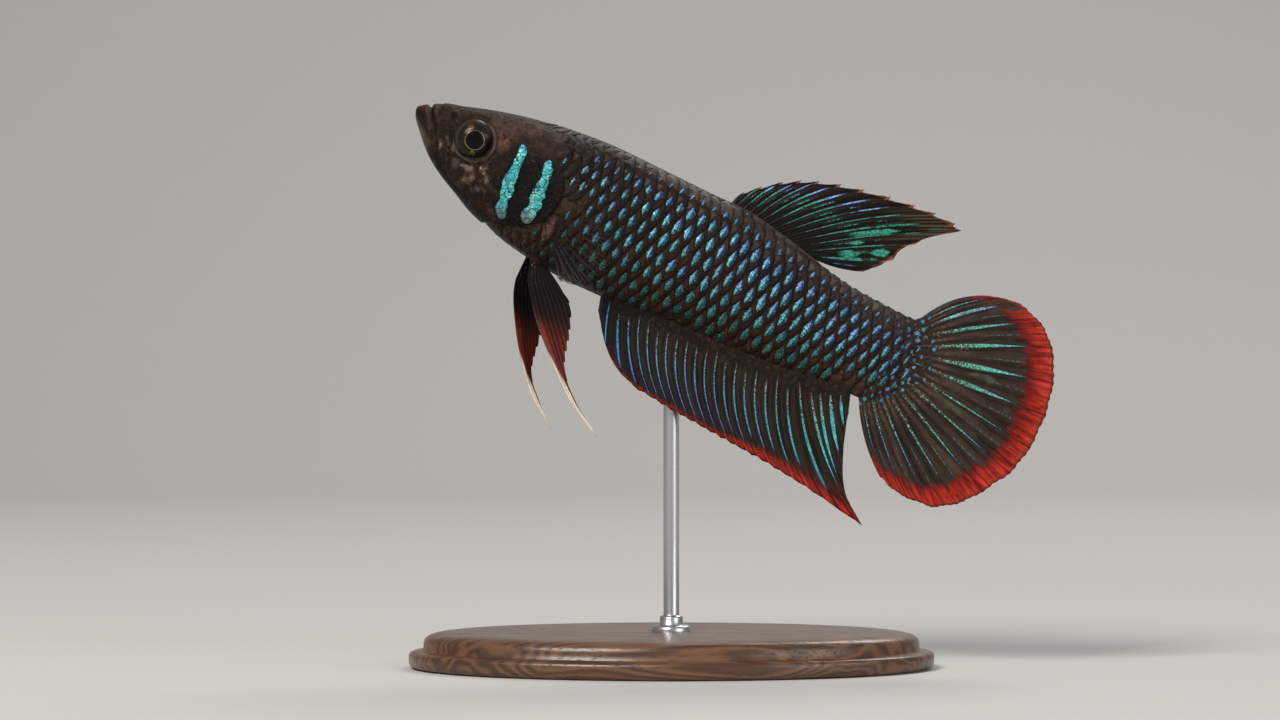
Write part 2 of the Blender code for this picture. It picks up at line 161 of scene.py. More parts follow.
class BettaColours(bpy.types.PropertyGroup):
    """Colours of the skin, the metallic marks, the fins and the stand"""
    back: colour("Back", "Taupe of the back and the top of the head", 0.080, 0.060, 0.051)
    flank: colour("Flank", "Dark skin between the metallic marks", 0.022, 0.0125, 0.0095)
    cover: colour("Gill cover", "Near-black of the gill cover", 0.0045, 0.0044, 0.0040)
    green: colour("Green sheen", "Green end of the metallic marks", 0.10, 0.62, 0.40)
    turquoise: colour("Turquoise sheen", "Middle of the metallic marks", 0.09, 0.62, 0.70)
    blue: colour("Blue sheen", "Blue end of the metallic marks", 0.14, 0.30, 0.85)
    red: colour("Red margin", "Red edge of the tail, anal and pelvic fins", 0.56, 0.035, 0.018)
    walnut: colour("Walnut", "Wood of the stand's base", 0.16, 0.075, 0.036)


def sizes():
    return bpy.context.scene.betta_sizes


def draws(start):
    """Source of the random numbers of one piece."""
    return np.random.default_rng(sizes().seed + start)


def colours():
    return bpy.context.scene.betta_colours


# ---------------------------------------------------------------- the body's surface

def through(knots, x):
    """Smooth curves through knots (x, value, ...) that never overshoot; x is an array."""
    table = np.array(knots, dtype=float)
    xs, values = table[:, 0], table[:, 1:]
    steps = np.diff(xs)[:, None]
    slopes = np.diff(values, axis=0) / steps
    tangents = np.zeros_like(values)
    tangents[0], tangents[-1] = slopes[0], slopes[-1]
    before, after = slopes[:-1], slopes[1:]
    same_way = before * after > 0
    total = np.where(same_way, before + after, 1.0)
    tangents[1:-1] = np.where(same_way, 2.0 * before * after / total, 0.0)
    x = np.clip(np.asarray(x, dtype=float), xs[0], xs[-1])
    k = np.clip(np.searchsorted(xs, x, side="right") - 1, 0, len(steps) - 1)
    step = steps[k]
    t = (x - xs[k])[..., None] / step
    start = (1 + 2 * t) * (1 - t) ** 2 * values[k] + t * (1 - t) ** 2 * step * tangents[k]
    end = t * t * (3 - 2 * t) * values[k + 1] + t * t * (t - 1) * step * tangents[k + 1]
    return np.moveaxis(start + end, -1, 0)


PROFILE_KNOTS = tuple((math.sqrt(row[0]),) + row[1:] for row in PROFILE)


def even(count):
    return np.linspace(0.0, 1.0, count)


def ramp(x, low, high):
    """Smooth step of arrays: 0 at low, 1 at high."""
    t = np.clip((x - low) / (high - low), 0.0, 1.0)
    return t * t * (3 - 2 * t)


def hump(x, centre, width):
    return np.exp(-((x - centre) / width) ** 2)


def vectors(*values):
    """Vectors of numbers given one by one, spread to one shape."""
    return np.stack(np.broadcast_arrays(*values), axis=-1)


def unit(vector):
    return vector / np.maximum(np.linalg.norm(vector, axis=-1, keepdims=True), 1e-9)


def from_back(angle):
    """Angle from the middle of the back on either flank, 0 to pi."""
    return np.arccos(np.clip(np.cos(angle), -1.0, 1.0))


def body_lines(a):
    """Heights of back and belly, and half the width."""
    return through(PROFILE_KNOTS, np.sqrt(np.maximum(a, 0.0)))


def body_point(a, angle, depth=0.0):
    """Points of the body's surface; the angle runs from the back down the left flank and round."""
    back, belly, half_width = body_lines(a)
    above, below = through(FULLNESS, a)
    middle = belly + WIDEST * (back - belly)
    cosine, sine = np.cos(angle), np.sin(angle)
    reach = np.where(cosine > 0, back - depth - middle, middle - belly - depth)
    power = np.where(cosine > 0, above, below)
    side = np.sign(sine) * np.abs(sine) ** power * np.maximum(half_width - depth, 0.0)
    return vectors(a, -side, middle + reach * cosine)


def gill_edge(angle):
    """Distance of the rear edge of the gill covers and the head."""
    return through(GILL_EDGE, np.degrees(from_back(angle)))[0]


def stalk_end(h):
    return STALK_END - STALK_ROUND * h * h + 0.15 * h


def picked(rows, index):
    """One number of each row."""
    return np.take_along_axis(rows, index[..., None], axis=-1)[..., 0]


class Girth:
    """Distances round the body, measured from the middle of the back."""
    samples = np.linspace(0.0, COAT_LENGTH, 210)
    angles = np.linspace(0.0, math.pi, 121)
    grid_a, grid_angle = np.meshgrid(samples, angles, indexing="ij")
    points = body_point(grid_a, grid_angle)
    runs = np.concatenate([
        np.zeros((len(samples), 1)),
        np.cumsum(np.linalg.norm(np.diff(points, axis=1), axis=2), axis=1)], axis=1)

    @classmethod
    def _rows(cls, a):
        place = np.clip(np.asarray(a) / cls.samples[-1], 0.0, 1.0) * (len(cls.samples) - 1)
        low = np.minimum(place.astype(int), len(cls.samples) - 2)
        part = (place - low)[..., None]
        return cls.runs[low] * (1 - part) + cls.runs[low + 1] * part

    @classmethod
    def half(cls, a):
        """From the middle of the back to the middle of the belly."""
        return cls._rows(a)[..., -1]

    @classmethod
    def angle_at(cls, a, run):
        """Angle of the point that lies run down the flank."""
        rows = cls._rows(a)
        run = np.clip(run, 0.0, rows[..., -1] - 1e-6)
        high = np.clip((rows <= run[..., None]).sum(axis=-1), 1, rows.shape[-1] - 1)
        before = picked(rows, high - 1)
        after = picked(rows, high)
        share = (run - before) / np.maximum(after - before, 1e-9)
        return (high - 1 + share) * (cls.angles[1] - cls.angles[0])

    @classmethod
    def run_at(cls, a, angle):
        """Distance from the middle of the back down to an angle, on either flank."""
        rows = cls._rows(a)
        place = from_back(angle) / (cls.angles[1] - cls.angles[0])
        low = np.minimum(place.astype(int), rows.shape[-1] - 2)
        before = picked(rows, low)
        after = picked(rows, low + 1)
        return before + (after - before) * (place - low)


def surface(a, run, side, lift):
    """Points over the flank: down it by run, out from it by lift; side is -1 on the left."""
    step = 0.05
    angle = Girth.angle_at(a, np.abs(run))
    angle = np.where(run < 0, -angle, angle)
    here = body_point(a, angle)
    along = body_point(a + step, angle) - body_point(a - step, angle)
    around = body_point(a, angle + step) - body_point(a, angle - step)
    normal = unit(np.cross(along, around))
    outward = np.sign(normal[..., 1] * here[..., 1] + normal[..., 2] * here[..., 2])[..., None]
    normal = normal * np.where(outward == 0, 1.0, outward)
    point = here + normal * np.asarray(lift)[..., None]
    return point * np.array((1.0, -side, 1.0)) if side > 0 else point


def facing_out(side, *grids):
    """Grids of vectors; those of the right flank get their columns turned round, so that they face out."""
    return tuple(grid[..., ::-1, :] for grid in grids) if side > 0 else grids


def bake_place(a, angle):
    """Place on the unwrap of the skin: along the fish, and round it from the back."""
    return vectors(0.01 + 0.98 * a / COAT_LENGTH, 0.01 + 0.98 * angle / math.tau)


def to_world(points):
    a, y, h = points[..., 0], points[..., 1], points[..., 2]
    x = SNOUT_PLACE[0] + MM * (a * math.cos(PITCH) + h * math.sin(PITCH))
    z = SNOUT_PLACE[2] + MM * (h * math.cos(PITCH) - a * math.sin(PITCH))
    return vectors(x, SNOUT_PLACE[1] + MM * y, z)


# ---------------------------------------------------------------- meshes and objects

def patch_place(a, run, side, *within):
    """Small patches of the skin's unwrap for sheets that are rooted at a and run on one flank."""
    angle = Girth.angle_at(a, run)
    angle = np.where(side < 0, angle, math.tau - angle)
    return bake_place(a, angle)[:, None, None, :] + 0.0015 * vectors(*within)[None]


def lay_out(name, points, marks=None, bake=None, weld=False, carry=to_world):
    """Mesh of grids laid out by points[sheet, row, column] in the fish's own frame.

    marks are numbers for the materials, and bake is each vertex's place on the bake map.
    """
    count, rows, columns = points.shape[:3]
    bm = bmesh.new()
    for _ in range(count):
        bmesh.ops.create_grid(bm, x_segments=columns - 1, y_segments=rows - 1, size=0.5)
    mesh = bpy.data.meshes.new(name)
    bm.to_mesh(mesh)
    bm.free()
    flat = np.empty(len(mesh.vertices) * 3, np.float32)
    mesh.vertices.foreach_get("co", flat)
    shares = flat.reshape(-1, 3)[:, :2] + 0.5
    place = (np.arange(len(shares)) // (rows * columns),
             np.rint(shares[:, 1] * (rows - 1)).astype(int),
             np.rint(shares[:, 0] * (columns - 1)).astype(int))
    mesh.vertices.foreach_set("co", carry(points)[place].astype(np.float32).ravel())
    for key, values in (marks or {}).items():
        layer = mesh.attributes.new(key, "FLOAT_VECTOR", "POINT")
        layer.data.foreach_set("vector", values[place].astype(np.float32).ravel())
    if bake is not None:
        corners = np.empty(len(mesh.loops), np.int32)
        mesh.loops.foreach_get("vertex_index", corners)
        layer = mesh.uv_layers.new(name="OFBake")
        layer.data.foreach_set("uv", bake[place][corners].astype(np.float32).ravel())
    if weld:
        bm = bmesh.new()
        bm.from_mesh(mesh)
        bmesh.ops.remove_doubles(bm, verts=bm.verts, dist=1e-7)
        bmesh.ops.dissolve_degenerate(bm, dist=1e-7, edges=bm.edges)
        bmesh.ops.recalc_face_normals(bm, faces=bm.faces)
        bm.to_mesh(mesh)
        bm.free()
    mesh.update()
    return mesh


def add(name, mesh, material, slot=None, replaces=()):
    """Object of a finished mesh; with a slot it is a piece of the model, else it is stage."""
    mesh.shade_smooth()
    mesh.materials.append(material)
    piece = bpy.data.objects.new(name, mesh)
    bpy.context.scene.collection.objects.link(piece)
    if slot is None:
        return piece
    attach(piece, BODY)
    if replaces:
        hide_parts(*replaces)
    return piece


def add_sheets(name, cloth, material, slot, thickness):
    """Piece of many small sheets, made solid by growing inwards."""
    piece = add(name, lay_out(name, *cloth), material, slot)
    solid = piece.modifiers.new("thickness", "SOLIDIFY")
    solid.thickness = MM * thickness
    solid.offset = -1.0


# ---------------------------------------------------------------- materials

class Signal:
    """A socket of a material, with arithmetic that adds Math nodes."""

    def __init__(self, net, socket):
        self.net = net
        self.socket = socket

    def __add__(self, other):
        return self.net.maths("ADD", self, other)

    def __sub__(self, other):
        return self.net.maths("SUBTRACT", self, other)

    def __rsub__(self, other):
        return self.net.maths("SUBTRACT", other, self)

    def __mul__(self, other):
        return self.net.maths("MULTIPLY", self, other)

    def __truediv__(self, other):
        return self.net.maths("DIVIDE", self, other)

    def __pow__(self, other):
        return self.net.maths("POWER", self, other)

    __radd__ = __add__
    __rmul__ = __mul__


class Net:
    """Node tree of one material with a Principled BSDF."""

    def __init__(self, name, **constants):
        self.material = bpy.data.materials.new(name)
        self.material.use_nodes = True
        self.tree = self.material.node_tree
        self.shader = self.tree.nodes["Principled BSDF"]
        for key, value in constants.items():
            self.feed(self.shader.inputs[key.replace("_", " ")], value)

    def feed(self, socket, value):
        if isinstance(value, Signal):
            self.tree.links.new(value.socket, socket)
        elif socket.type == "RGBA":
            socket.default_value = (*value, 1.0)
        else:
            socket.default_value = value

    def node(self, kind, settings=None, sockets=None, out=0):
        """Add a node: its settings first (stops are a ramp's), then values or links of its sockets."""
        made = self.tree.nodes.new(kind)
        for key, value in (settings or {}).items():
            if key == "stops":
                while len(made.color_ramp.elements) < len(value):
                    made.color_ramp.elements.new(1.0)
                for stop, (position, colour) in zip(made.color_ramp.elements, value):
                    stop.position = position
                    stop.color = (*colour, 1.0)
            else:
                setattr(made, key, value)
        for key, value in (sockets or {}).items():
            self.feed(made.inputs[key], value)
        return Signal(self, made.outputs[out])

    def maths(self, operation, *values):
        return self.node("ShaderNodeMath", {"operation": operation}, dict(enumerate(values)))

    def absolute(self, value):
        return self.maths("ABSOLUTE", value)

    def maximum(self, one, other):
        return self.maths("MAXIMUM", one, other)

    def nearest(self, value):
        """The nearest whole number."""
        return self.maths("ROUND", value, 0.0)

    def fold(self, value, half=0.5):
        """Zigzag between 0 and half; with 0.5 it is the distance from the nearest whole number."""
        return self.maths("PINGPONG", value, half)

    def gap(self, x, y, middle):
        """Distance from a point."""
        return ((x - middle[0]) ** 2.0 + (y - middle[1]) ** 2.0) ** 0.5

    def oval(self, x, y, middle, halves):
        """0 in the middle of an oval, 1 on its edge, and more outside it."""
        return ((x - middle[0]) / halves[0]) ** 2.0 + ((y - middle[1]) / halves[1]) ** 2.0

    def ramp(self, value, low, high):
        """0 at low, 1 at high, smooth between; low may be the larger."""
        return self.node("ShaderNodeMapRange", {"interpolation_type": "SMOOTHSTEP"},
                         {"Value": value, "From Min": low, "From Max": high})

    def band(self, value, outer, inner):
        """1 where the value is within inner of 0, and 0 where it is beyond outer."""
        return self.ramp(self.absolute(value), outer, inner)

    def mix(self, share, first, second):
        return self.node("ShaderNodeMix", {"data_type": "RGBA"}, {0: share, 6: first, 7: second}, out=2)

    def scale(self, colour, factor):
        """Colour made brighter or darker."""
        return self.node("ShaderNodeVectorMath", {"operation": "SCALE"}, {0: colour, "Scale": factor})

    def mark(self, name):
        """The three numbers of a mesh's mark."""
        whole = self.node("ShaderNodeAttribute", {"attribute_name": name}, out="Vector")
        return self.split(whole)

    def split(self, vector):
        made = self.tree.nodes.new("ShaderNodeSeparateXYZ")
        self.feed(made.inputs[0], vector)
        return [Signal(self, made.outputs[k]) for k in range(3)]

    def join(self, x, y, z=0.0):
        return self.node("ShaderNodeCombineXYZ", None, {0: x, 1: y, 2: z})

    def fish_place(self):
        """Place in the fish's own frame, in millimetres, as a vector."""
        place = self.node("ShaderNodeTexCoord", out="Object")
        return self.node("ShaderNodeMapping", {"vector_type": "TEXTURE"},
                         {"Vector": place, "Location": SNOUT_PLACE, "Rotation": (0.0, PITCH, 0.0),
                          "Scale": (MM, MM, MM)})

    def own_place(self, scale, rotation=(0.0, 0.0, 0.0)):
        """Place in the model's own frame, in metres, turned and stretched."""
        place = self.node("ShaderNodeTexCoord", out="Object")
        return self.node("ShaderNodeMapping", {"vector_type": "POINT"},
                         {"Vector": place, "Scale": scale, "Rotation": rotation})

    def noise(self, place, scale, detail=3.0, roughness=0.55):
        sockets = {"Vector": place, "Scale": scale, "Detail": detail, "Roughness": roughness}
        return self.node("ShaderNodeTexNoise", None, sockets, out="Fac")

    def cells(self, place, scale, feature="F1", out="Distance"):
        sockets = {"Vector": place, "Scale": scale}
        return self.node("ShaderNodeTexVoronoi", {"feature": feature}, sockets, out=out)

    def chances(self, place, scale):
        """Three random numbers for each cell."""
        return self.split(self.cells(place, scale, out="Color"))

    def bump(self, height, distance, strength):
        sockets = {"Height": height, "Distance": distance * MM, "Strength": strength}
        return self.node("ShaderNodeBump", None, sockets)

    def finish(self, **sockets):
        for key, value in sockets.items():
            self.feed(self.shader.inputs[key.replace("_", " ")], value)
        return self.material


def pebbles(net, place, dark, light):
    """Small rounded lumps, as on the fleshy bases of the fins."""
    domes = net.ramp(net.cells(place, 2.3), 0.62, 0.15)
    each = net.chances(place, 2.3)
    fine = net.noise(place, 4.0, 4.0, 0.7)
    return net.mix(domes * (0.12 + 0.45 * each[0]) + 1.2 * (fine - 0.42), dark, light)


def freckled(net, place, tone, near):
    """Tone with small blue dots in slanting rows, which end the metallic marks at the stalk's end."""
    a, _, h = net.split(place)
    shift = net.noise(place, 0.9) - 0.5
    first, second = 1.2 * a + 0.90 * h + shift, 1.2 * a - 0.90 * h + shift
    corner = net.join(net.nearest(first), net.nearest(second))
    each = net.node("ShaderNodeTexWhiteNoise", {"noise_dimensions": "3D"}, {"Vector": corner}, out="Color")
    each = net.split(each)
    off = (net.fold(first) ** 2.0 + net.fold(second) ** 2.0) ** 0.5
    grain = net.noise(place, 6.0)
    dots = net.ramp(off + 0.30 * (grain - 0.5), 0.20 + 0.12 * each[0], 0.13 + 0.06 * each[0])
    dot_tone = net.mix(0.4 * each[0], sheen(net, 0.45 + 0.40 * each[2]), (0.30, 0.45, 0.50))
    dot_tone = net.scale(dot_tone, (0.30 + 0.45 * each[1]) * (0.5 + 1.0 * grain))
    return net.mix(dots * near * net.ramp(each[1], 0.10, 0.25) * 0.8, tone, dot_tone)


def stalk_freckled(net, place, tone):
    """Tone of the coat with the dots that it has at the stalk's end."""
    a, _, h = net.split(place)
    return freckled(net, place, tone, net.ramp(a - 0.05 * h, 46.2, 47.4))


def skin_tone(net, place, lie):
    """Colour that skin and scales share, from the place on the fish and the lie of the coat."""
    palette = colours()
    a, run, girth_share = lie
    back_edge = 0.7 + 1.9 * net.ramp(a, 47.0, 24.0)
    back = net.ramp(run, back_edge + 1.5, back_edge - 0.8)
    tone = net.mix(back, palette.flank, palette.back)
    tan = net.ramp(a, 21.5, 15.5) * net.ramp(girth_share, 0.34, 0.5) * net.ramp(girth_share, 0.92, 0.7)
    tone = net.mix(tan * 0.65, tone, (0.064, 0.042, 0.019))
    nape = net.ramp(a, 20.0, 15.0) * net.ramp(run, 4.2, 2.4)
    tone = net.mix(nape * 0.5, tone, (0.078, 0.050, 0.045))
    rusty = net.ramp(a, 18.0, 14.5) * net.ramp(girth_share, 0.62, 0.76)
    rusty = rusty * net.ramp(net.noise(place, 1.6, 4.0, 0.7), 0.36, 0.70)
    tone = net.mix(rusty * 0.6, tone, (0.078, 0.042, 0.016))
    red = net.ramp(girth_share, 0.3, 0.45) * net.ramp(a, 18.0, 26.0)
    tone = net.mix(red * 0.60, tone, (0.056, 0.020, 0.013))
    # Pebbly flesh low on the flank; its colour is made lighter as painted fill light against the shade where
    # the belly curves under
    fleshy = net.ramp(girth_share, 0.80, 0.93) * net.ramp(a, 18.5, 23.0)
    tone = net.mix(fleshy * 0.85, tone, pebbles(net, place, (0.028, 0.0165, 0.0115), (0.150, 0.090, 0.062)))
    root = net.ramp(a, 45.5, 48.0)
    root_tone = net.mix(net.noise(place, 3.0, 4.0, 0.7), (0.010, 0.0065, 0.005), (0.050, 0.034, 0.028))
    tone = net.mix(root * 0.8, tone, root_tone)
    mottle = net.noise(place, 1.3)
    front = net.ramp(a, 20.5, 16.0)
    blotch = net.ramp(net.noise(place, 2.4, 5.0, 0.7), 0.42, 0.60)
    tone = net.scale(tone, 1.0 - 0.55 * front * (1.0 - blotch))
    return net.scale(tone, 0.62 + 0.76 * mottle)


def sheen(net, blueness):
    """Metallic colour from green through turquoise to blue-violet."""
    palette = colours()
    stops = ((0.0, palette.green), (0.45, palette.turquoise), (0.78, palette.blue), (1.0, (0.10, 0.27, 0.72)))
    return net.node("ShaderNodeValToRGB", {"stops": stops}, {"Fac": blueness}, out="Color")


# ---------------------------------------------------------------- head and skin

# Lines on the side view: (distance, height)
MOUTH = ((0.55, 1.35), (1.25, 0.50), (1.90, -0.30), (2.36, -0.98), (2.76, -1.62), (3.08, -2.12))
LIP_FOLD = ((1.75, 1.75), (2.0, 0.9), (2.45, -0.1), (2.95, -1.0))
JAW_CREASE = ((3.05, -2.15), (3.9, -3.15), (5.2, -4.15), (6.8, -4.85))
CHEEK_LINE = ((8.1, 1.3), (8.35, -0.6), (8.3, -2.4), (7.7, -3.9), (6.6, -4.7))
NOSTRIL = (3.31, 0.88)
CHEEK_RIDGE = ((3.69, -1.10), (4.22, -1.45), (4.72, -1.94), (5.25, -2.35), (5.70, -2.62))
# Knobbly flesh under and behind the eye: (distance, height, size, rise)
BUMPS = (
    (6.07, -2.61, 0.26, 0.10), (6.70, -2.62, 0.40, 0.13), (7.67, -2.15, 0.24, 0.10),
    (8.19, -1.94, 0.22, 0.10), (7.69, -1.51, 0.20, 0.07), (8.01, -1.22, 0.20, 0.07),
    (8.08, -2.50, 0.18, 0.09), (8.34, -2.56, 0.24, 0.11), (8.65, -2.98, 0.24, 0.10),
    (5.13, -2.75, 0.30, 0.05), (6.69, -3.66, 0.46, 0.06), (7.63, -4.04, 0.42, 0.06),
    (8.30, -3.86, 0.34, 0.06), (8.90, -3.80, 0.30, 0.05), (7.30, -3.20, 0.26, 0.05),
    (7.90, 0.55, 0.36, 0.06), (8.60, 0.35, 0.36, 0.05), (7.85, 1.60, 0.42, 0.05),
    (9.10, 1.25, 0.32, 0.04),
)
SOCKET_SHIFT = (0.20, -0.06)
PECTORAL_BASE = (15.35, -3.75)
PELVIC_BASE = (15.5, -7.2)


def gap_to(a, h, line):
    """Distance from places on the side view to a line of points."""
    best = np.full(np.broadcast(a, h).shape, 1e9)
    for (a0, h0), (a1, h1) in zip(line, line[1:]):
        length = (a1 - a0) ** 2 + (h1 - h0) ** 2
        share = np.clip(((a - a0) * (a1 - a0) + (h - h0) * (h1 - h0)) / length, 0.0, 1.0)
        best = np.minimum(best, np.hypot(a - a0 - share * (a1 - a0), h - h0 - share * (h1 - h0)))
    return best


def head_relief(a, y, h, angle):
    """How far lips, folds, nostril, eye socket and gill cover stand out from the plain head."""
    flank = ramp(np.abs(y), 0.35, 1.1)
    mouth, fold = gap_to(a, h, MOUTH), gap_to(a, h, LIP_FOLD)
    out = 0.09 * hump(mouth, 0.42, 0.24) - 0.20 * hump(mouth, 0.0, 0.13) * (1.0 - 0.5 * ramp(a, 1.6, 3.0))
    out -= 0.07 * hump(fold, 0.0, 0.14)
    out -= 0.08 * hump(gap_to(a, h, JAW_CREASE), 0.0, 0.18)
    cheek = gap_to(a, h, CHEEK_LINE)
    out += flank * (0.03 * hump(cheek, 0.45, 0.4) - 0.05 * hump(cheek, 0.0, 0.18))
    out += flank * 0.055 * hump(gap_to(a, h, CHEEK_RIDGE), 0.0, 0.30)
    for place, height, size, rise in BUMPS:
        out += flank * rise * hump(np.hypot(a - place, h - height), 0.0, size)
    nostril = np.hypot(a - NOSTRIL[0], h - NOSTRIL[1])
    out += flank * (0.05 * hump(nostril, 0.30, 0.12) - 0.20 * hump(nostril, 0.0, 0.15))
    orbit = np.hypot(a - EYE_CENTRE[0], h - EYE_CENTRE[2])
    socket = np.hypot(a - EYE_CENTRE[0] - SOCKET_SHIFT[0], h - EYE_CENTRE[2] - SOCKET_SHIFT[1])
    out += flank * (0.09 * hump(socket, 1.84, 0.13) - 0.07 * hump(socket, 2.12, 0.12))
    out -= flank * 0.55 * (1.0 - ramp(orbit, 1.42, 1.70))
    brow = hump(a, EYE_CENTRE[0], 1.6) * hump(h, 1.75, 0.5)
    out += 0.08 * brow * flank
    rear = gill_edge(angle) - a
    cover = ramp(np.degrees(from_back(angle)), 52.0, 88.0)
    return out + cover * 0.19 * ramp(rear, 3.6, 0.7)


def trunk_relief(a, y, h):
    """Fleshy bases of the pectoral and pelvic fins, and the sheaths along the other two."""
    flank = ramp(np.abs(y), 1.4, 2.2)
    lobe = np.hypot((a - PECTORAL_BASE[0]) / 0.55, (h - PECTORAL_BASE[1]) / 1.55)
    out = flank * 0.42 * (1.0 - ramp(lobe, 0.45, 1.25))
    out += flank * 0.10 * hump(lobe, 0.75, 0.25) * hump(h, PECTORAL_BASE[1] - 0.5, 0.8)
    thigh = np.hypot((a - PELVIC_BASE[0]) / 1.1, (np.abs(y) - 0.9) / 0.5)
    out += 0.35 * (1.0 - ramp(thigh, 0.3, 1.2)) * (h < -5.5)
    along_dorsal = ramp(a, 27.4, 28.6) * ramp(a, 38.4, 37.2)
    along_anal = ramp(a, 20.9, 22.0) * ramp(a, 46.6, 45.2)
    out += 0.22 * hump(y, 0.0, 0.42) * (h > 0) * along_dorsal
    out += 0.25 * hump(y, 0.0, 0.42) * (h < 0) * along_anal
    return out


# Share of the width that is left of the stalk's rear, by distance
TONGUE = ((44.0, 1.0), (46.5, 0.80), (48.5, 0.42), (50.2, 0.16))


def tongue(points):
    """Narrow the rear of the stalk to a thin tongue between the two faces of the tail fin."""
    a = points[..., 0]
    width = through(TONGUE, a)[0]
    points[..., 1] = points[..., 1] * width
    return points


SKIN_COLUMNS = 200
HEAD_ROWS = 150
TRUNK_ROWS = 120


def skin_points():
    """Skin as one grid, from the snout to the end of the stalk and round from the back, with its marks."""
    depth = sizes().coat_depth / MM
    angle = np.linspace(0.0, math.tau, SKIN_COLUMNS + 1)
    edge = gill_edge(angle)
    lip = ramp(np.degrees(from_back(angle)), 54.0, 82.0)
    share = even(HEAD_ROWS)[:, None] ** 1.3
    head = body_point(edge * share, angle + 0 * share, 0.03)
    rear_h = body_point(STALK_END - 2.0 + 0 * angle, angle)[:, 2]
    end = stalk_end(rear_h)
    reach = even(TRUNK_ROWS)[:, None]
    start = edge + 0.12
    sunk = depth - (depth - 0.03) * (1.0 - lip) * (1.0 - ramp(reach, 0.0, 0.16))
    trunk = tongue(body_point(start + (end - start) * reach, angle + 0 * reach, sunk))
    step = body_point(edge + 0.04 - 0.16 * lip, angle, 0.03 + (depth + 0.31) * lip)[None]
    points = np.concatenate((head, step, trunk))
    grid_angle = np.broadcast_to(angle, points.shape[:2])
    along, around = np.gradient(points, axis=0), np.gradient(points, axis=1)
    around[:, 0] = around[:, -1] = (points[:, 1] - points[:, -2]) / 2
    normal = unit(np.cross(around, along))
    a, y, h = points[..., 0], points[..., 1], points[..., 2]
    out = np.where(np.arange(len(points))[:, None] < HEAD_ROWS,
                   head_relief(a, y, h, grid_angle), trunk_relief(a, y, h))
    out[HEAD_ROWS] = 0.0
    out[0] = 0.0
    normal[HEAD_ROWS - 1] = normal[HEAD_ROWS - 3]
    points = points + normal * out[..., None]
    points[0] = (0.02, 0.0, 0.0)
    points[-1, :, 1] = 0.0
    points[:, -1] = points[:, 0]
    zone = np.zeros(points.shape)
    zone[HEAD_ROWS:, :, 0] = 1.0
    zone[..., 1] = edge - a
    zone[..., 2] = out
    inside = np.clip(a, 0.0, COAT_LENGTH - 0.1)
    run = Girth.run_at(inside, grid_angle)
    lie = vectors(a, run, run / np.maximum(Girth.half(inside), 1e-6))
    return points, zone, lie, bake_place(a, grid_angle)


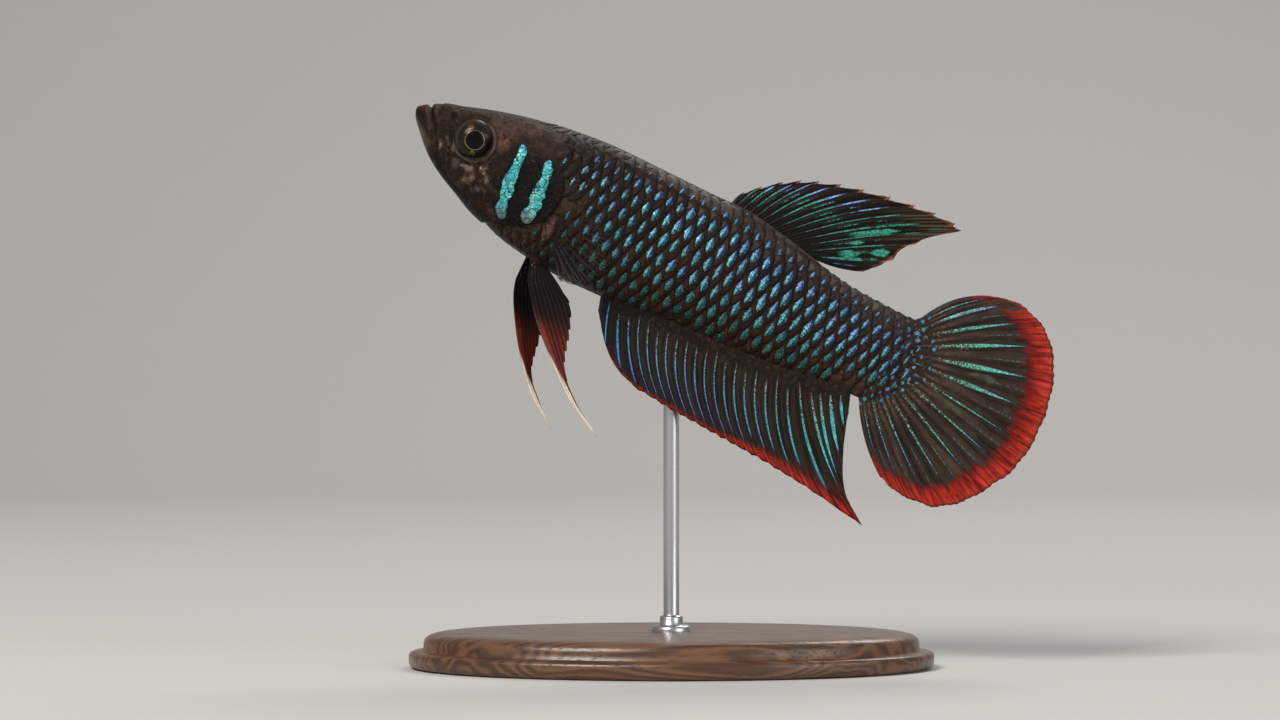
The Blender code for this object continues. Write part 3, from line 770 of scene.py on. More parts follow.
def skin_material():
    net = Net("fish_skin", Specular_IOR_Level=0.10)
    place = net.fish_place()
    a, _, h = net.split(place)
    zone, rear, relief = net.mark("zone")
    lie = net.mark("lie")
    share = lie[2]
    fine = net.noise(place, 3.2, 5.0, 0.65)
    broad = net.noise(place, 0.9, 4.0, 0.6)
    rough = net.noise(place, 2.3, 6.0, 0.75)

    crown = net.ramp(share + 0.30 * (broad - 0.5), 0.44, 0.16)
    top = net.mix(net.ramp(a, 4.5, 8.5), (0.036, 0.0215, 0.0135), (0.056, 0.038, 0.033))
    tone = net.mix(crown, (0.0165, 0.0088, 0.0056), top)
    front = net.ramp(a, 4.2, 1.4)
    tone = net.mix(front * 0.8, tone, (0.0175, 0.0090, 0.0062))
    patchy = net.noise(place, 1.15, 6.0, 0.72)
    tone = net.mix(net.ramp(patchy, 0.50, 0.66) * 0.60, tone, (0.058, 0.037, 0.030))
    tone = net.mix(net.ramp(patchy, 0.47, 0.34) * 0.60, tone, (0.0085, 0.0052, 0.0038))
    seams = net.ramp(net.cells(place, 0.62, "DISTANCE_TO_EDGE") + 0.12 * (rough - 0.5), 0.045, 0.0)
    tone = net.mix(seams * 0.45 * net.ramp(a, 4.0, 6.5), tone, (0.010, 0.0062, 0.0046))
    rosy = net.ramp(broad, 0.45, 0.60) * net.ramp(a, 5.6, 7.4) * net.ramp(a, 14.2, 11.0)
    rosy = rosy * net.ramp(share, 0.46, 0.34)
    tone = net.mix(rosy * 0.38, tone, (0.090, 0.050, 0.038))
    # Paler cheek, palest on the raised lumps: partly pale flesh, partly painted highlight on the lumps' tops
    lumps = net.ramp(relief, 0.020, 0.075)
    cheek = net.ramp(a, 3.0, 3.6) * net.ramp(a, 9.4, 8.8) * net.ramp(h + 0.35 * a, 1.9, 1.2)
    cheek = cheek * net.ramp(h, -4.7, -3.7)
    pale = net.maximum(cheek * lumps, cheek * 0.35 * net.ramp(rough, 0.52, 0.62))
    tone = net.mix(pale * net.ramp(rough, 0.30, 0.56) * 0.85, tone, (0.105, 0.072, 0.054))
    # Painted wet highlights: pale tan and bluish-white cells on the cheek
    wet_highlight = net.ramp(net.cells(place, 1.05) + 0.35 * (rough - 0.5), 0.42, 0.22)
    each = net.chances(place, 1.05)
    patch = net.mix(each[1], (0.170, 0.115, 0.080), (0.155, 0.150, 0.165))
    tone = net.mix(wet_highlight * cheek * net.ramp(each[0], 0.50, 0.75) * 0.45, tone, patch)
    # Painted highlights on the tops of the highest lumps, and small near-white specks on them
    lump_highlight = net.ramp(relief, 0.060, 0.100) * cheek
    tone = net.mix(lump_highlight * net.ramp(rough, 0.34, 0.54) * 0.75, tone, (0.170, 0.142, 0.128))
    tiny = net.ramp(net.noise(place, 3.4, 3.0), 0.56, 0.66) * lump_highlight
    tone = net.mix(tiny * 0.9, tone, (0.480, 0.440, 0.420))
    pits = net.ramp(rough, 0.47, 0.36) * cheek
    tone = net.mix(pits * 0.6, tone, (0.0055, 0.0032, 0.0022))
    behind = net.gap(a, h, (8.15, 0.75)) + 1.6 * (patchy - 0.5)
    behind = net.ramp(behind, 1.15, 0.45) * net.ramp(rough, 0.36, 0.62)
    tone = net.mix(behind * 0.9, tone, (0.165, 0.080, 0.055))
    snout = net.ramp(a, 4.0, 3.0) * net.ramp(h, -2.6, -1.4) * net.ramp(rough, 0.48, 0.62)
    tone = net.mix(snout * 0.45, tone, (0.050, 0.032, 0.025))
    beside, above = a - EYE_CENTRE[0] - SOCKET_SHIFT[0], h - EYE_CENTRE[2] - SOCKET_SHIFT[1]
    socket = (beside ** 2.0 + above ** 2.0) ** 0.5
    tone = net.mix(net.ramp(socket, 2.10, 1.86) * 0.75, tone, (0.011, 0.0075, 0.0055))
    rim = net.band(socket - 1.86, 0.08, 0.02)
    tone = net.mix(rim * 0.6, tone, (0.058, 0.042, 0.032))
    # Painted highlight: pale grey arc on the upper rear of the eye's rim
    eye_rim_highlight = net.band(socket - 1.74, 0.12, 0.04) * net.ramp(beside + above, 0.6, 1.8)
    tone = net.mix(eye_rim_highlight * 0.7, tone, (0.095, 0.078, 0.080))
    # Painted shade in the nostril's pit, and a painted highlight on the upper edge of its rim
    nostril = net.gap(a, h, NOSTRIL)
    tone = net.mix(net.ramp(nostril, 0.42, 0.20) * 0.8, tone, (0.0055, 0.0042, 0.0032))
    nostril_rim_highlight = net.band(nostril - 0.46, 0.10, 0.03) * net.ramp(h - NOSTRIL[1], 0.05, 0.30)
    tone = net.mix(nostril_rim_highlight * 0.6, tone, (0.070, 0.050, 0.040))
    dark_front = 9.1 - 0.32 * h
    cover = net.ramp(a - dark_front + 0.9 * (broad - 0.5), -0.5, 0.7) * net.ramp(share, 0.28, 0.42)
    brown = net.ramp(rough, 0.46, 0.66) * net.ramp(h, -1.8, 0.2)
    tone = net.mix(cover, tone, net.mix(0.55 * brown, colours().cover, (0.030, 0.018, 0.014)))
    # Painted glints: small pale specks over the head, away from the snout tip
    specks = net.ramp(net.noise(place, 5.0, 2.0), 0.66, 0.72)
    tone = net.mix(specks * 0.45 * net.ramp(a, 2.5, 4.0), tone, (0.24, 0.19, 0.16))
    throat = net.ramp(share, 0.80, 0.92) * net.ramp(a, 2.4, 4.2)
    tone = net.mix(throat * 0.8, tone, (0.0042, 0.0030, 0.0024))
    sills = net.maths("GREATER_THAN", 0.50, rear) * net.ramp(share, 0.36, 0.50)
    tone = net.mix(sills * 0.6, tone, (0.0085, 0.0060, 0.0050))
    # Lighter raised lips: partly their own brown, partly painted highlight where they stand out
    lips = net.ramp(relief, 0.03, 0.09) * net.ramp(a, 2.6, 1.7)
    tone = net.mix(lips * 0.6, tone, (0.066, 0.045, 0.037))
    # Painted shade in the head's hollows: mouth slit, folds, creases, nostril and eye socket
    sunk = net.ramp(relief, -0.03, -0.16) * net.ramp(a, 8.0, 6.0)
    tone = net.mix(sunk * 0.65, tone, (0.0048, 0.0034, 0.0027))
    # Painted rim light: pale edge along the underside of the lower jaw
    chin_rim_light = net.ramp(share, 0.66, 0.84) * net.ramp(a, 3.0, 1.8)
    tone = net.mix(chin_rim_light * 0.6, tone, (0.165, 0.128, 0.110))
    red, green, blue = net.split(tone)
    warm = net.join(red, 0.94 * green, 0.84 * blue)
    head_tone = net.scale(warm, 1.85 * net.ramp(0.5 * fine + 0.5 * broad, 0.18, 0.82))

    body_tone = skin_tone(net, place, lie)
    glow = net.ramp(rear, -0.15, -0.6) * net.ramp(rear, -3.4, -1.4)
    glow = glow * net.ramp(share, 0.68, 0.76) * net.ramp(share, 0.96, 0.88)
    body_tone = net.mix(glow * net.ramp(rough, 0.34, 0.62) * 0.8, body_tone, (0.120, 0.056, 0.017))
    beside, above = a - PECTORAL_BASE[0], h - PECTORAL_BASE[1]
    lobe = net.ramp(net.oval(beside, above, (0.0, 0.0), (0.62, 1.6)) + 2.4 * (rough - 0.5), 1.25, 0.35)
    lobe_tone = net.mix(net.ramp(rough, 0.40, 0.62), (0.016, 0.008, 0.007), (0.165, 0.095, 0.075))
    body_tone = net.mix(lobe * 0.85, body_tone, lobe_tone)
    # Painted shade in the gaps behind and above the pectoral fin's fleshy base
    slot = net.ramp(net.oval(beside, above, (1.05, 0.0), (0.55, 2.0)), 1.5, 0.3)
    body_tone = net.mix(slot * 0.8, body_tone, (0.014, 0.010, 0.012))
    notch = net.ramp(net.oval(beside, above, (0.25, 1.95), (0.55, 0.38)), 1.2, 0.7)
    body_tone = net.mix(notch, body_tone, (0.003, 0.0025, 0.0025))
    membrane = net.ramp(rear, -0.9, -0.35) * net.ramp(share, 0.5, 0.62) * net.ramp(share, 0.76, 0.66)
    body_tone = net.mix(membrane * 0.8, body_tone, (0.010, 0.007, 0.006))
    blend = net.ramp(rear + 1.1 * (broad - 0.5), 1.3, -0.9)
    body = net.mix(net.ramp(share, 0.36, 0.48), blend, zone)
    tone = net.mix(body, head_tone, body_tone)
    tone = stalk_freckled(net, place, tone)

    grain = net.noise(place, 8.0, 5.0, 0.7)
    dents = net.cells(place, 4.5, "SMOOTH_F1")
    height = 0.6 * grain + 0.35 * dents + 1.3 * rough
    return net.finish(Base_Color=tone, Roughness=0.30 + 0.26 * fine, Normal=net.bump(height, 0.13, 0.85))


# ---------------------------------------------------------------- scales

# Along the fish: how far apart scales stand in a row, how far apart rows lie, and how the rows drift
# up towards the tail, in rows
STATION_SHARE = (
    (7.0, 0.72), (14.0, 0.82), (21.0, 0.91), (27.0, 0.96), (33.0, 1.02), (38.0, 1.0), (45.0, 0.90),
    (50.0, 0.74),
)
ROW_SHARE = (
    (7.0, 0.80), (14.0, 0.88), (21.0, 1.0), (34.0, 0.98), (38.0, 0.91), (42.0, 0.83), (46.0, 0.78),
    (50.0, 0.72),
)
ROW_DRIFT = (
    (7.0, -0.50), (18.0, -0.50), (24.0, -0.42), (30.0, -0.28), (34.0, -0.52), (38.0, -0.80), (42.0, -0.92),
    (46.0, -1.0), (50.0, -1.05),
)


SCALE_ROWS = 16
FIRST_STATION = 7.0
LAST_STATION = 50.5
# Random numbers of each scale, by column; one more is drawn and left unused
SIZE, LEAN, DRIFT, TINT = range(4)
MARK_LENGTH, MARK_WIDTH, MARK_LIGHT, MARK_BLUENESS, MARK_CHANCE, MARK_LEAN = range(4, 10)
JITTER_COLUMNS = 11


def scale_places(side):
    """Distance, run, size and row of every scale on one flank; the left one has the row of the back."""
    step, row_step = sizes().scale_step / MM, sizes().row_step / MM
    stations = [FIRST_STATION]
    while stations[-1] < LAST_STATION:
        stations.append(stations[-1] + step * float(through(STATION_SHARE, stations[-1])[0]))
    stations = np.array(stations)
    found = []
    for row in range(0 if side < 0 else 1, SCALE_ROWS):
        index = np.arange(len(stations) - 1) + (0.5 if row % 2 else 0.0)
        a = np.interp(index, np.arange(len(stations)), stations)
        size = through(ROW_SHARE, a)[0]
        run = np.maximum(row + through(ROW_DRIFT, a)[0], 0.0) * row_step * size
        half = Girth.half(a + 1.0)
        angle = Girth.angle_at(a + 1.5, np.minimum(run, half))
        start = np.where(np.degrees(angle) < 40.0, 9.4 + 0.9 * run, gill_edge(angle) - 0.9)
        h = body_point(np.minimum(a + 2.0, 50.0), angle)[:, 2]
        kept = (a > start) & (a + 1.75 * size < stalk_end(h) + 0.2)
        floor = np.where(a > 20.5, 0.50, 0.35)
        kept &= run < half - floor * size
        if row == 0:
            kept &= a < 25.6
        if row == 1 and side > 0:
            kept &= a < 39.0
        found += [(a[k], run[k], size[k], row) for k in np.flatnonzero(kept)]
    return np.array(found)


SCALE_LENGTH = 2.5
SCALE_HALF = 1.62
SCALE_ROUND = 1.05
# Across and along one scale, one mark and one bar
SCALE_GRID = (9, 5)
MARK_GRID = (13, 5)
BAR_GRID = (73, 13)
BAR_LOBES = 14
# How far behind the front of its scale the middle of a mark lies
MARK_SHIFT = 1.9
SCALES_END = 50.6


def scale_lift(t, a, run):
    """How far scales stand off the solids: nearly flush on the nape, the back and the tail's root."""
    stand = ramp(a, 9.0, 19.0) * (0.10 + 0.90 * ramp(run, 1.0, 4.0)) * ramp(a, 49.5, 43.0)
    return -0.10 + (0.120 * (0.72 + 0.28 * ramp(a, 47.6, 45.6)) + 0.115 * stand) * t


def scale_cloth(places, side, jitter):
    """Grids of all the scales of one flank, with their marks and places on the bake map."""
    u, t = np.meshgrid(np.linspace(-math.pi / 2, math.pi / 2, SCALE_GRID[0]), even(SCALE_GRID[1]),
                       indexing="xy")
    across = np.sin(u)
    length = SCALE_LENGTH - SCALE_ROUND * (1.0 - np.cos(u))
    a0, run0, size = (places[:, k][:, None, None] for k in range(3))
    size = size * (1.0 + 0.05 * jitter[:, SIZE, None, None])
    lean = 0.10 * jitter[:, LEAN, None, None]
    a = a0 + size * (length * t + lean * across)
    run = run0 + size * SCALE_HALF * across * (0.86 + 0.14 * t) + 0.04 * jitter[:, DRIFT, None, None]
    run = np.maximum(run, np.where(run0 > 0.5, 0.0, -2.0))
    run = np.minimum(run, Girth.half(np.clip(a0 + 1.2, 0.0, 51.0)) - 0.03)
    a = np.clip(a, 0.0, SCALES_END)
    points = tongue(surface(a, run, side, scale_lift(t, a0, run0) + 0.02 * np.cos(u) * t))
    uv = patch_place(places[:, 0] + 1.4, np.abs(places[:, 1]), side, across, 2 * t - 1)
    shape = vectors(across[None], t[None], jitter[:, TINT, None, None])
    middle = a0 + 1.5
    lie = vectors(middle + 0 * a, run0, run0 / Girth.half(middle))
    points, uv, shape, lie = facing_out(side, points, uv, shape, lie)
    return points, {"shape": shape, "lie": lie}, uv


def scale_material():
    net = Net("scales", Specular_IOR_Level=0.12)
    place = net.fish_place()
    lie = net.mark("lie")
    across, t, chance = net.mark("shape")
    tone = net.scale(skin_tone(net, place, lie), 0.76 + 0.46 * chance)
    back = net.ramp(lie[1], 4.6, 2.6)
    outline = net.ramp(t, 0.93 - 0.03 * (1.0 - back), 0.975 - 0.01 * (1.0 - back))
    outline = outline * (1.0 - 0.6 * back * net.ramp(lie[0], 40.0, 46.0)) * (1.0 - 0.35 * back)
    settled = net.ramp(lie[0], 12.5, 18.5) * net.ramp(lie[0], 48.0, 45.0)
    tone = net.mix(outline * (0.15 + 0.55 * settled), tone, (0.010, 0.007, 0.0065))
    # Painted highlight: pale crescents along the rear rims of the back's scales
    scale_rim_highlight = net.ramp(t, 0.72, 0.88) * net.ramp(t, 0.96, 0.91) * back
    scale_rim_highlight = scale_rim_highlight * net.ramp(net.noise(place, 3.0), 0.35, 0.7)
    tone = net.mix(scale_rim_highlight * 0.28 * settled, tone, (0.120, 0.098, 0.090))
    tone = stalk_freckled(net, place, tone)
    grain = net.noise(place, 7.0, 4.0, 0.6)
    height = 0.10 * net.maths("SINE", across * 34.0) + 0.12 * net.maths("SINE", t * 70.0) + grain
    return net.finish(Base_Color=tone, Roughness=0.36 + 0.2 * grain, Normal=net.bump(height, 0.05, 0.6))


# ---------------------------------------------------------------- metallic marks

# Half length of a mark by its run down the flank, and the share of it by distance
MARK_HALVES = ((0.5, 0.10), (1.5, 0.20), (2.9, 0.52), (4.3, 0.80), (5.7, 0.90), (16.0, 0.90))
MARK_SHARES = ((14.0, 0.55), (20.0, 0.70), (26.0, 0.82), (32.0, 0.95), (40.0, 1.0), (50.0, 1.0))


def glint_sizes(places, jitter):
    """Half length, half width, brightness, blueness, tan tint and lowness of the mark on each scale."""
    a, run = places[:, 0] + MARK_SHIFT, places[:, 1]
    share = run / Girth.half(a)
    reach = run + 0.9 * ramp(a, 34.0, 44.0)
    length = through(MARK_HALVES, reach)[0] * through(MARK_SHARES, a)[0]
    low = ramp(share, 0.60, 0.84)
    rear = ramp(a, 45.5, 49.5)
    length = length * (1.0 - 0.10 * low) * (1.0 - 0.28 * rear) * (1.0 + 0.12 * jitter[:, MARK_LENGTH])
    width = (0.36 - 0.10 * rear) * np.clip(length / 0.58, 0.5, 1.0) * (1.0 + 0.16 * jitter[:, MARK_WIDTH])
    bright = (0.46 + 0.50 * ramp(a, 15.0, 27.0)) * (1.0 - 0.34 * low * (1.0 - ramp(a, 26.0, 34.0)))
    bright = bright * (1.0 + 0.30 * jitter[:, MARK_LIGHT])
    blue = 0.45 + 0.13 * ramp(a, 22.0, 44.0) + 0.24 * (1.0 - ramp(share, 0.12, 0.50)) - 0.32 * low
    blue = blue + 0.12 * jitter[:, MARK_BLUENESS]
    tan = (1.0 - ramp(a, 16.5, 20.5)) * ramp(share, 0.22, 0.42)
    return length, width, bright, blue, tan, low


def glint_cloth(places, side, jitter):
    """Slim leaf-shaped marks, one on each scale, across the row and just proud of the scale."""
    length, width, bright, blue, tan, low = glint_sizes(places, jitter)
    half = Girth.half(places[:, 0] + MARK_SHIFT)
    row = places[:, 3]
    kept = (row > 0) & (length > 0.13)
    kept &= places[:, 0] + MARK_SHIFT > 13.0 + 3.4 * np.clip(4.0 - row, 0.0, 3.0)
    kept &= places[:, 1] + 0.8 * length < half - np.where(places[:, 0] > 20.0, 0.45, 0.3)
    chance = np.where(row == 1, 0.45 + 0.65 * ramp(places[:, 0], 30.0, 40.0),
                      0.70 + 0.40 * ramp(places[:, 0], 14.0, 18.0))
    kept &= jitter[:, MARK_CHANCE] * 0.5 + 0.5 < chance
    places, jitter = places[kept], jitter[kept]
    length, width, bright, blue, tan, low = (
        values[kept][:, None, None] for values in (length, width, bright, blue, tan, low))
    s, w = np.meshgrid(np.sin(np.linspace(-math.pi / 2, math.pi / 2, MARK_GRID[0])),
                       np.linspace(-1.0, 1.0, MARK_GRID[1]), indexing="xy")
    body = np.clip(1.0 - np.abs(s) ** 2.6, 0.0, 1.0) ** 0.50
    spur, belly = 0.88 + 0.26 * hump(s, -0.08, 0.15), 1.0 + 0.14 * hump(s, 0.15, 0.5)
    a0, run0, size = (places[:, k][:, None, None] for k in range(3))
    middle = a0 + size * (1.80 + 0.10 * (1.0 - s * s))
    a = middle + size * width * body * w * np.where(w > 0, belly, spur)
    lean = 0.08 + 0.13 * ramp(a0, 30.0, 41.0) + 0.06 * jitter[:, MARK_LEAN, None, None]
    a = a - size * length * lean * s
    run = run0 + size * length * s - 0.02
    t = np.clip((a - a0) / (size * SCALE_LENGTH), 0.0, 1.0)
    dome = 0.060 * (1.0 - w * w) * body - 0.02
    points = tongue(surface(np.clip(a, 0.0, SCALES_END), run, side, scale_lift(t, a0, run0) + 0.045 + dome))
    uv = patch_place(places[:, 0] + MARK_SHIFT, places[:, 1], side, s, w)
    shape = vectors(s[None], w[None], low)
    glow = vectors(bright + 0 * a, blue, tan)
    points, uv, shape, glow = facing_out(side, points, uv, shape, glow)
    return points, {"shape": shape, "glow": glow}, uv


def glint_material():
    net = Net("metallic_marks", Specular_IOR_Level=0.4)
    place = net.fish_place()
    s, w, low = net.mark("shape")
    bright, blue, tan = net.mark("glow")
    along, across = net.absolute(s), net.absolute(w)
    drift = net.noise(place, 1.7)
    grain = net.noise(place, 6.5, 4.0, 0.7)
    colour = sheen(net, blue - 0.24 * s + 0.55 * (drift - 0.5))
    colour = net.mix(tan * 0.5, colour, (0.26, 0.19, 0.10))
    # Random facets; the brightest of them carry painted sparkle
    facets = net.chances(place, 9.0)
    barbs = net.maths("SINE", 21.0 * s - 7.0 * across + 5.0 * grain)
    veins = net.ramp(barbs, 0.15, 0.95)
    # Painted highlight: a bright cross, a stripe along the mark and a short bar across it
    highlight_stripe = net.band(w + 0.30, 0.42, 0.10) * net.ramp(along, 0.95, 0.45)
    spur = net.band(s + 0.08, 0.17, 0.06) * net.ramp(w, 0.15, -0.25)
    centre = net.maximum(highlight_stripe, spur) * net.ramp(grain, 0.40, 0.58)
    shade = net.ramp(w + 0.5 * (grain - 0.5), 0.0, 0.35) * (1.0 - low)
    hollow = low * net.ramp(across, 0.72, 0.35)
    # Brightness of the mark from its veins, with painted sparkle on random facets and the painted highlight
    # cross
    light = 0.16 + 0.36 * veins + 0.95 * facets[0] ** 4.0 + 1.05 * centre * (1.0 - 0.7 * low)
    light = light * (1.0 - 0.45 * hollow) * (1.0 - 0.45 * shade)
    colour = net.mix(shade * 0.60, colour, (0.06, 0.17, 0.38))
    colour = net.mix(low * 0.40, colour, (0.16, 0.40, 0.26))
    colour = net.scale(colour, 0.62 * bright * light)
    # Pale painted highlight on the cross
    colour = net.mix(centre * (1.0 - low) * bright * 0.38, colour, (0.50, 0.82, 0.90))
    # Painted sparkle: pale flecks inside the mark
    flecks = net.ramp(net.noise(place, 5.5, 2.0), 0.58, 0.68) * net.ramp(across, 0.95, 0.6)
    sparkle_tone = net.mix(low, (0.46, 0.78, 0.84), (0.32, 0.56, 0.42))
    colour = net.mix(flecks * (0.20 + 0.24 * bright), colour, sparkle_tone)
    torn = across + 0.30 * along ** 2.0 + 1.5 * (grain - 0.5)
    colour = net.mix(net.ramp(torn, 0.62, 1.02), colour, (0.010, 0.0075, 0.007))
    return net.finish(Base_Color=colour, Roughness=0.26 + 0.2 * facets[2], Metallic=0.35 + 0.3 * facets[0],
                      Normal=net.bump(0.5 * facets[1] + 0.5 * veins, 0.05, 0.8))


# Middle lines of the two bars on the gill cover: (distance, height, half the width)
BARS = (
    ((9.84, 1.30, 0.17), (10.06, 0.92, 0.34), (10.25, 0.41, 0.42), (10.29, -0.40, 0.40), (10.30, -1.24, 0.53),
     (10.42, -2.17, 0.57), (10.58, -3.0, 0.50), (10.66, -3.7, 0.48), (10.78, -4.3, 0.50),
     (11.40, -5.05, 0.34)),
    ((12.58, 1.14, 0.20), (12.72, 0.74, 0.36), (12.92, 0.23, 0.40), (13.03, -0.40, 0.36),
     (13.10, -1.10, 0.54), (13.14, -2.10, 0.62), (13.26, -2.9, 0.58), (13.24, -3.5, 0.58),
     (13.18, -4.1, 0.60), (13.12, -4.55, 0.42)),
)


def bar_cloth(side):
    """Grids of the two bars with lobed edges, laid on the gill cover a little proud of its skin."""
    random = draws(5)
    along, across = np.meshgrid(even(BAR_GRID[0]), np.linspace(-1.0, 1.0, BAR_GRID[1]), indexing="ij")
    sheets = []
    for bar in BARS:
        table = np.array(bar)
        steps = np.hypot(np.diff(table[:, 0]), np.diff(table[:, 1]))
        knots = np.concatenate(([0.0], np.cumsum(steps)))
        knots = knots / knots[-1]
        total = steps.sum()
        middle_a, middle_h, half = through(np.column_stack((knots, table)), along)
        slope_a, slope_h = np.gradient(middle_a, axis=0), np.gradient(middle_h, axis=0)
        length = np.hypot(slope_a, slope_h)
        lobes = random.uniform(-1.0, 1.0, (2, BAR_LOBES))
        edge = np.where(across > 0, *(through(np.column_stack((even(BAR_LOBES), row)), along)[0]
                                      for row in lobes))
        ends = np.clip(total * np.minimum(along, 1.0 - along) / 0.30, 0.0, 1.0)
        half = half * (1.0 + 0.22 * edge) * np.sqrt(1.0 - (1.0 - ends) ** 2)
        sheets.append(vectors(middle_a - across * half * slope_h / length,
                              middle_h + across * half * slope_a / length))
    a, h = np.moveaxis(np.array(sheets), -1, 0)
    back, belly, _ = body_lines(a)
    middle = belly + WIDEST * (back - belly)
    cosine = np.where(h > middle, (h - middle) / (back - middle), (h - middle) / (middle - belly))
    angle = np.arccos(np.clip(cosine, -1.0, 1.0))
    y = body_point(a, angle)[..., 1]
    lift = head_relief(a, y, h, angle) + 0.055 - 0.06 * np.abs(across) ** 6
    points = surface(a, Girth.run_at(a, angle), side, lift)
    shape = vectors(across[None] + 0 * a, along[None], 0.0)
    uv = bake_place(a, angle if side < 0 else math.tau - angle)
    points, uv, shape = facing_out(side, points, uv, shape)
    return points, {"shape": shape}, uv


def bar_material():
    net = Net("gill_bars", Specular_IOR_Level=0.4)
    place = net.fish_place()
    across, along, _ = net.mark("shape")
    across = net.absolute(across)
    wander = net.noise(place, 2.4, 3.0)
    warped = net.node("ShaderNodeVectorMath", {"operation": "MULTIPLY_ADD"},
                      {0: net.join(wander, wander, wander), 1: (0.55, 0.0, 0.55), 2: place})
    flat_place = net.node("ShaderNodeVectorMath", {"operation": "MULTIPLY"},
                          {0: warped, 1: (1.0, 0.35, 1.25)})
    plates = net.chances(flat_place, 1.35)
    cracks = net.ramp(net.cells(flat_place, 1.35, "DISTANCE_TO_EDGE"), 0.016, 0.060)
    small = net.chances(flat_place, 4.4)
    hair = net.ramp(net.cells(flat_place, 4.4, "DISTANCE_TO_EDGE"), 0.010, 0.085)
    tiny = net.chances(place, 13.0)
    colour = net.mix(plates[0], (0.045, 0.42, 0.52), (0.10, 0.62, 0.60))
    colour = net.mix(0.45 * small[1], colour, (0.05, 0.50, 0.40))
    # Painted highlights: pale patches over the middle of the bars
    pale = net.ramp(net.noise(place, 1.3), 0.50, 0.66) * net.ramp(across, 0.85, 0.45)
    colour = net.mix(pale * (0.25 + 0.5 * tiny[0]), colour, (0.62, 0.92, 0.74))
    top = net.ramp(along, 0.13, 0.03)
    colour = net.mix(top * 0.55, colour, (0.20, 0.45, 0.80))
    faint = net.ramp(along + 0.22 * (wander - 0.5), 0.78, 0.93)
    dusty = net.mix(small[0], (0.035, 0.10, 0.085), (0.19, 0.15, 0.12))
    colour = net.mix(faint * 0.85, colour, dusty)
    # Brightness of the plates, with painted sparkle on a few small cells and darker along the fine lines
    colour = net.scale(colour, (0.66 + 0.62 * small[2] + 0.7 * tiny[1] ** 4.0) * (0.28 + 0.72 * hair))
    colour = net.mix(1.0 - cracks, colour, (0.010, 0.050, 0.065))
    torn = across + 0.55 * (net.noise(place, 4.5, 3.0) - 0.5)
    colour = net.mix(net.ramp(torn, 0.80, 0.97), colour, (0.0075, 0.0065, 0.006))
    height = 0.5 * small[2] + 0.5 * hair + 0.8 * cracks
    return net.finish(Base_Color=colour, Roughness=0.30 + 0.2 * tiny[2], Metallic=0.30,
                      Normal=net.bump(height, 0.05, 0.8))


# ---------------------------------------------------------------- eyes

# From the pole out, and round it
EYE_GRID = (49, 65)


def eye_points(side):
    """Eyeball with a raised clear dome over the iris, turned about the line across the head."""
    row = even(EYE_GRID[0])[:, None]
    turn = np.linspace(0.0, math.tau, EYE_GRID[1])[None]
    polar = math.pi * row ** 1.15
    radius = EYE_SIZE[0] * np.sin(polar)
    out = EYE_SIZE[1] * np.cos(polar)
    dome = np.where(polar < math.pi / 2, 1.0 - ramp(radius, 0.9, 1.42), 0.0)
    out = out + 0.07 * dome - 0.030 * hump(radius, 1.38, 0.06) * (polar < math.pi / 2)
    x, z = radius * np.cos(turn), radius * np.sin(turn)
    points = vectors(EYE_CENTRE[0] + x, side * (EYE_CENTRE[1] + out), EYE_CENTRE[2] + z)
    bake = 0.5 + 0.48 * row[..., None] * vectors(np.cos(turn), np.sin(turn))
    return points, vectors(radius, x, z), bake


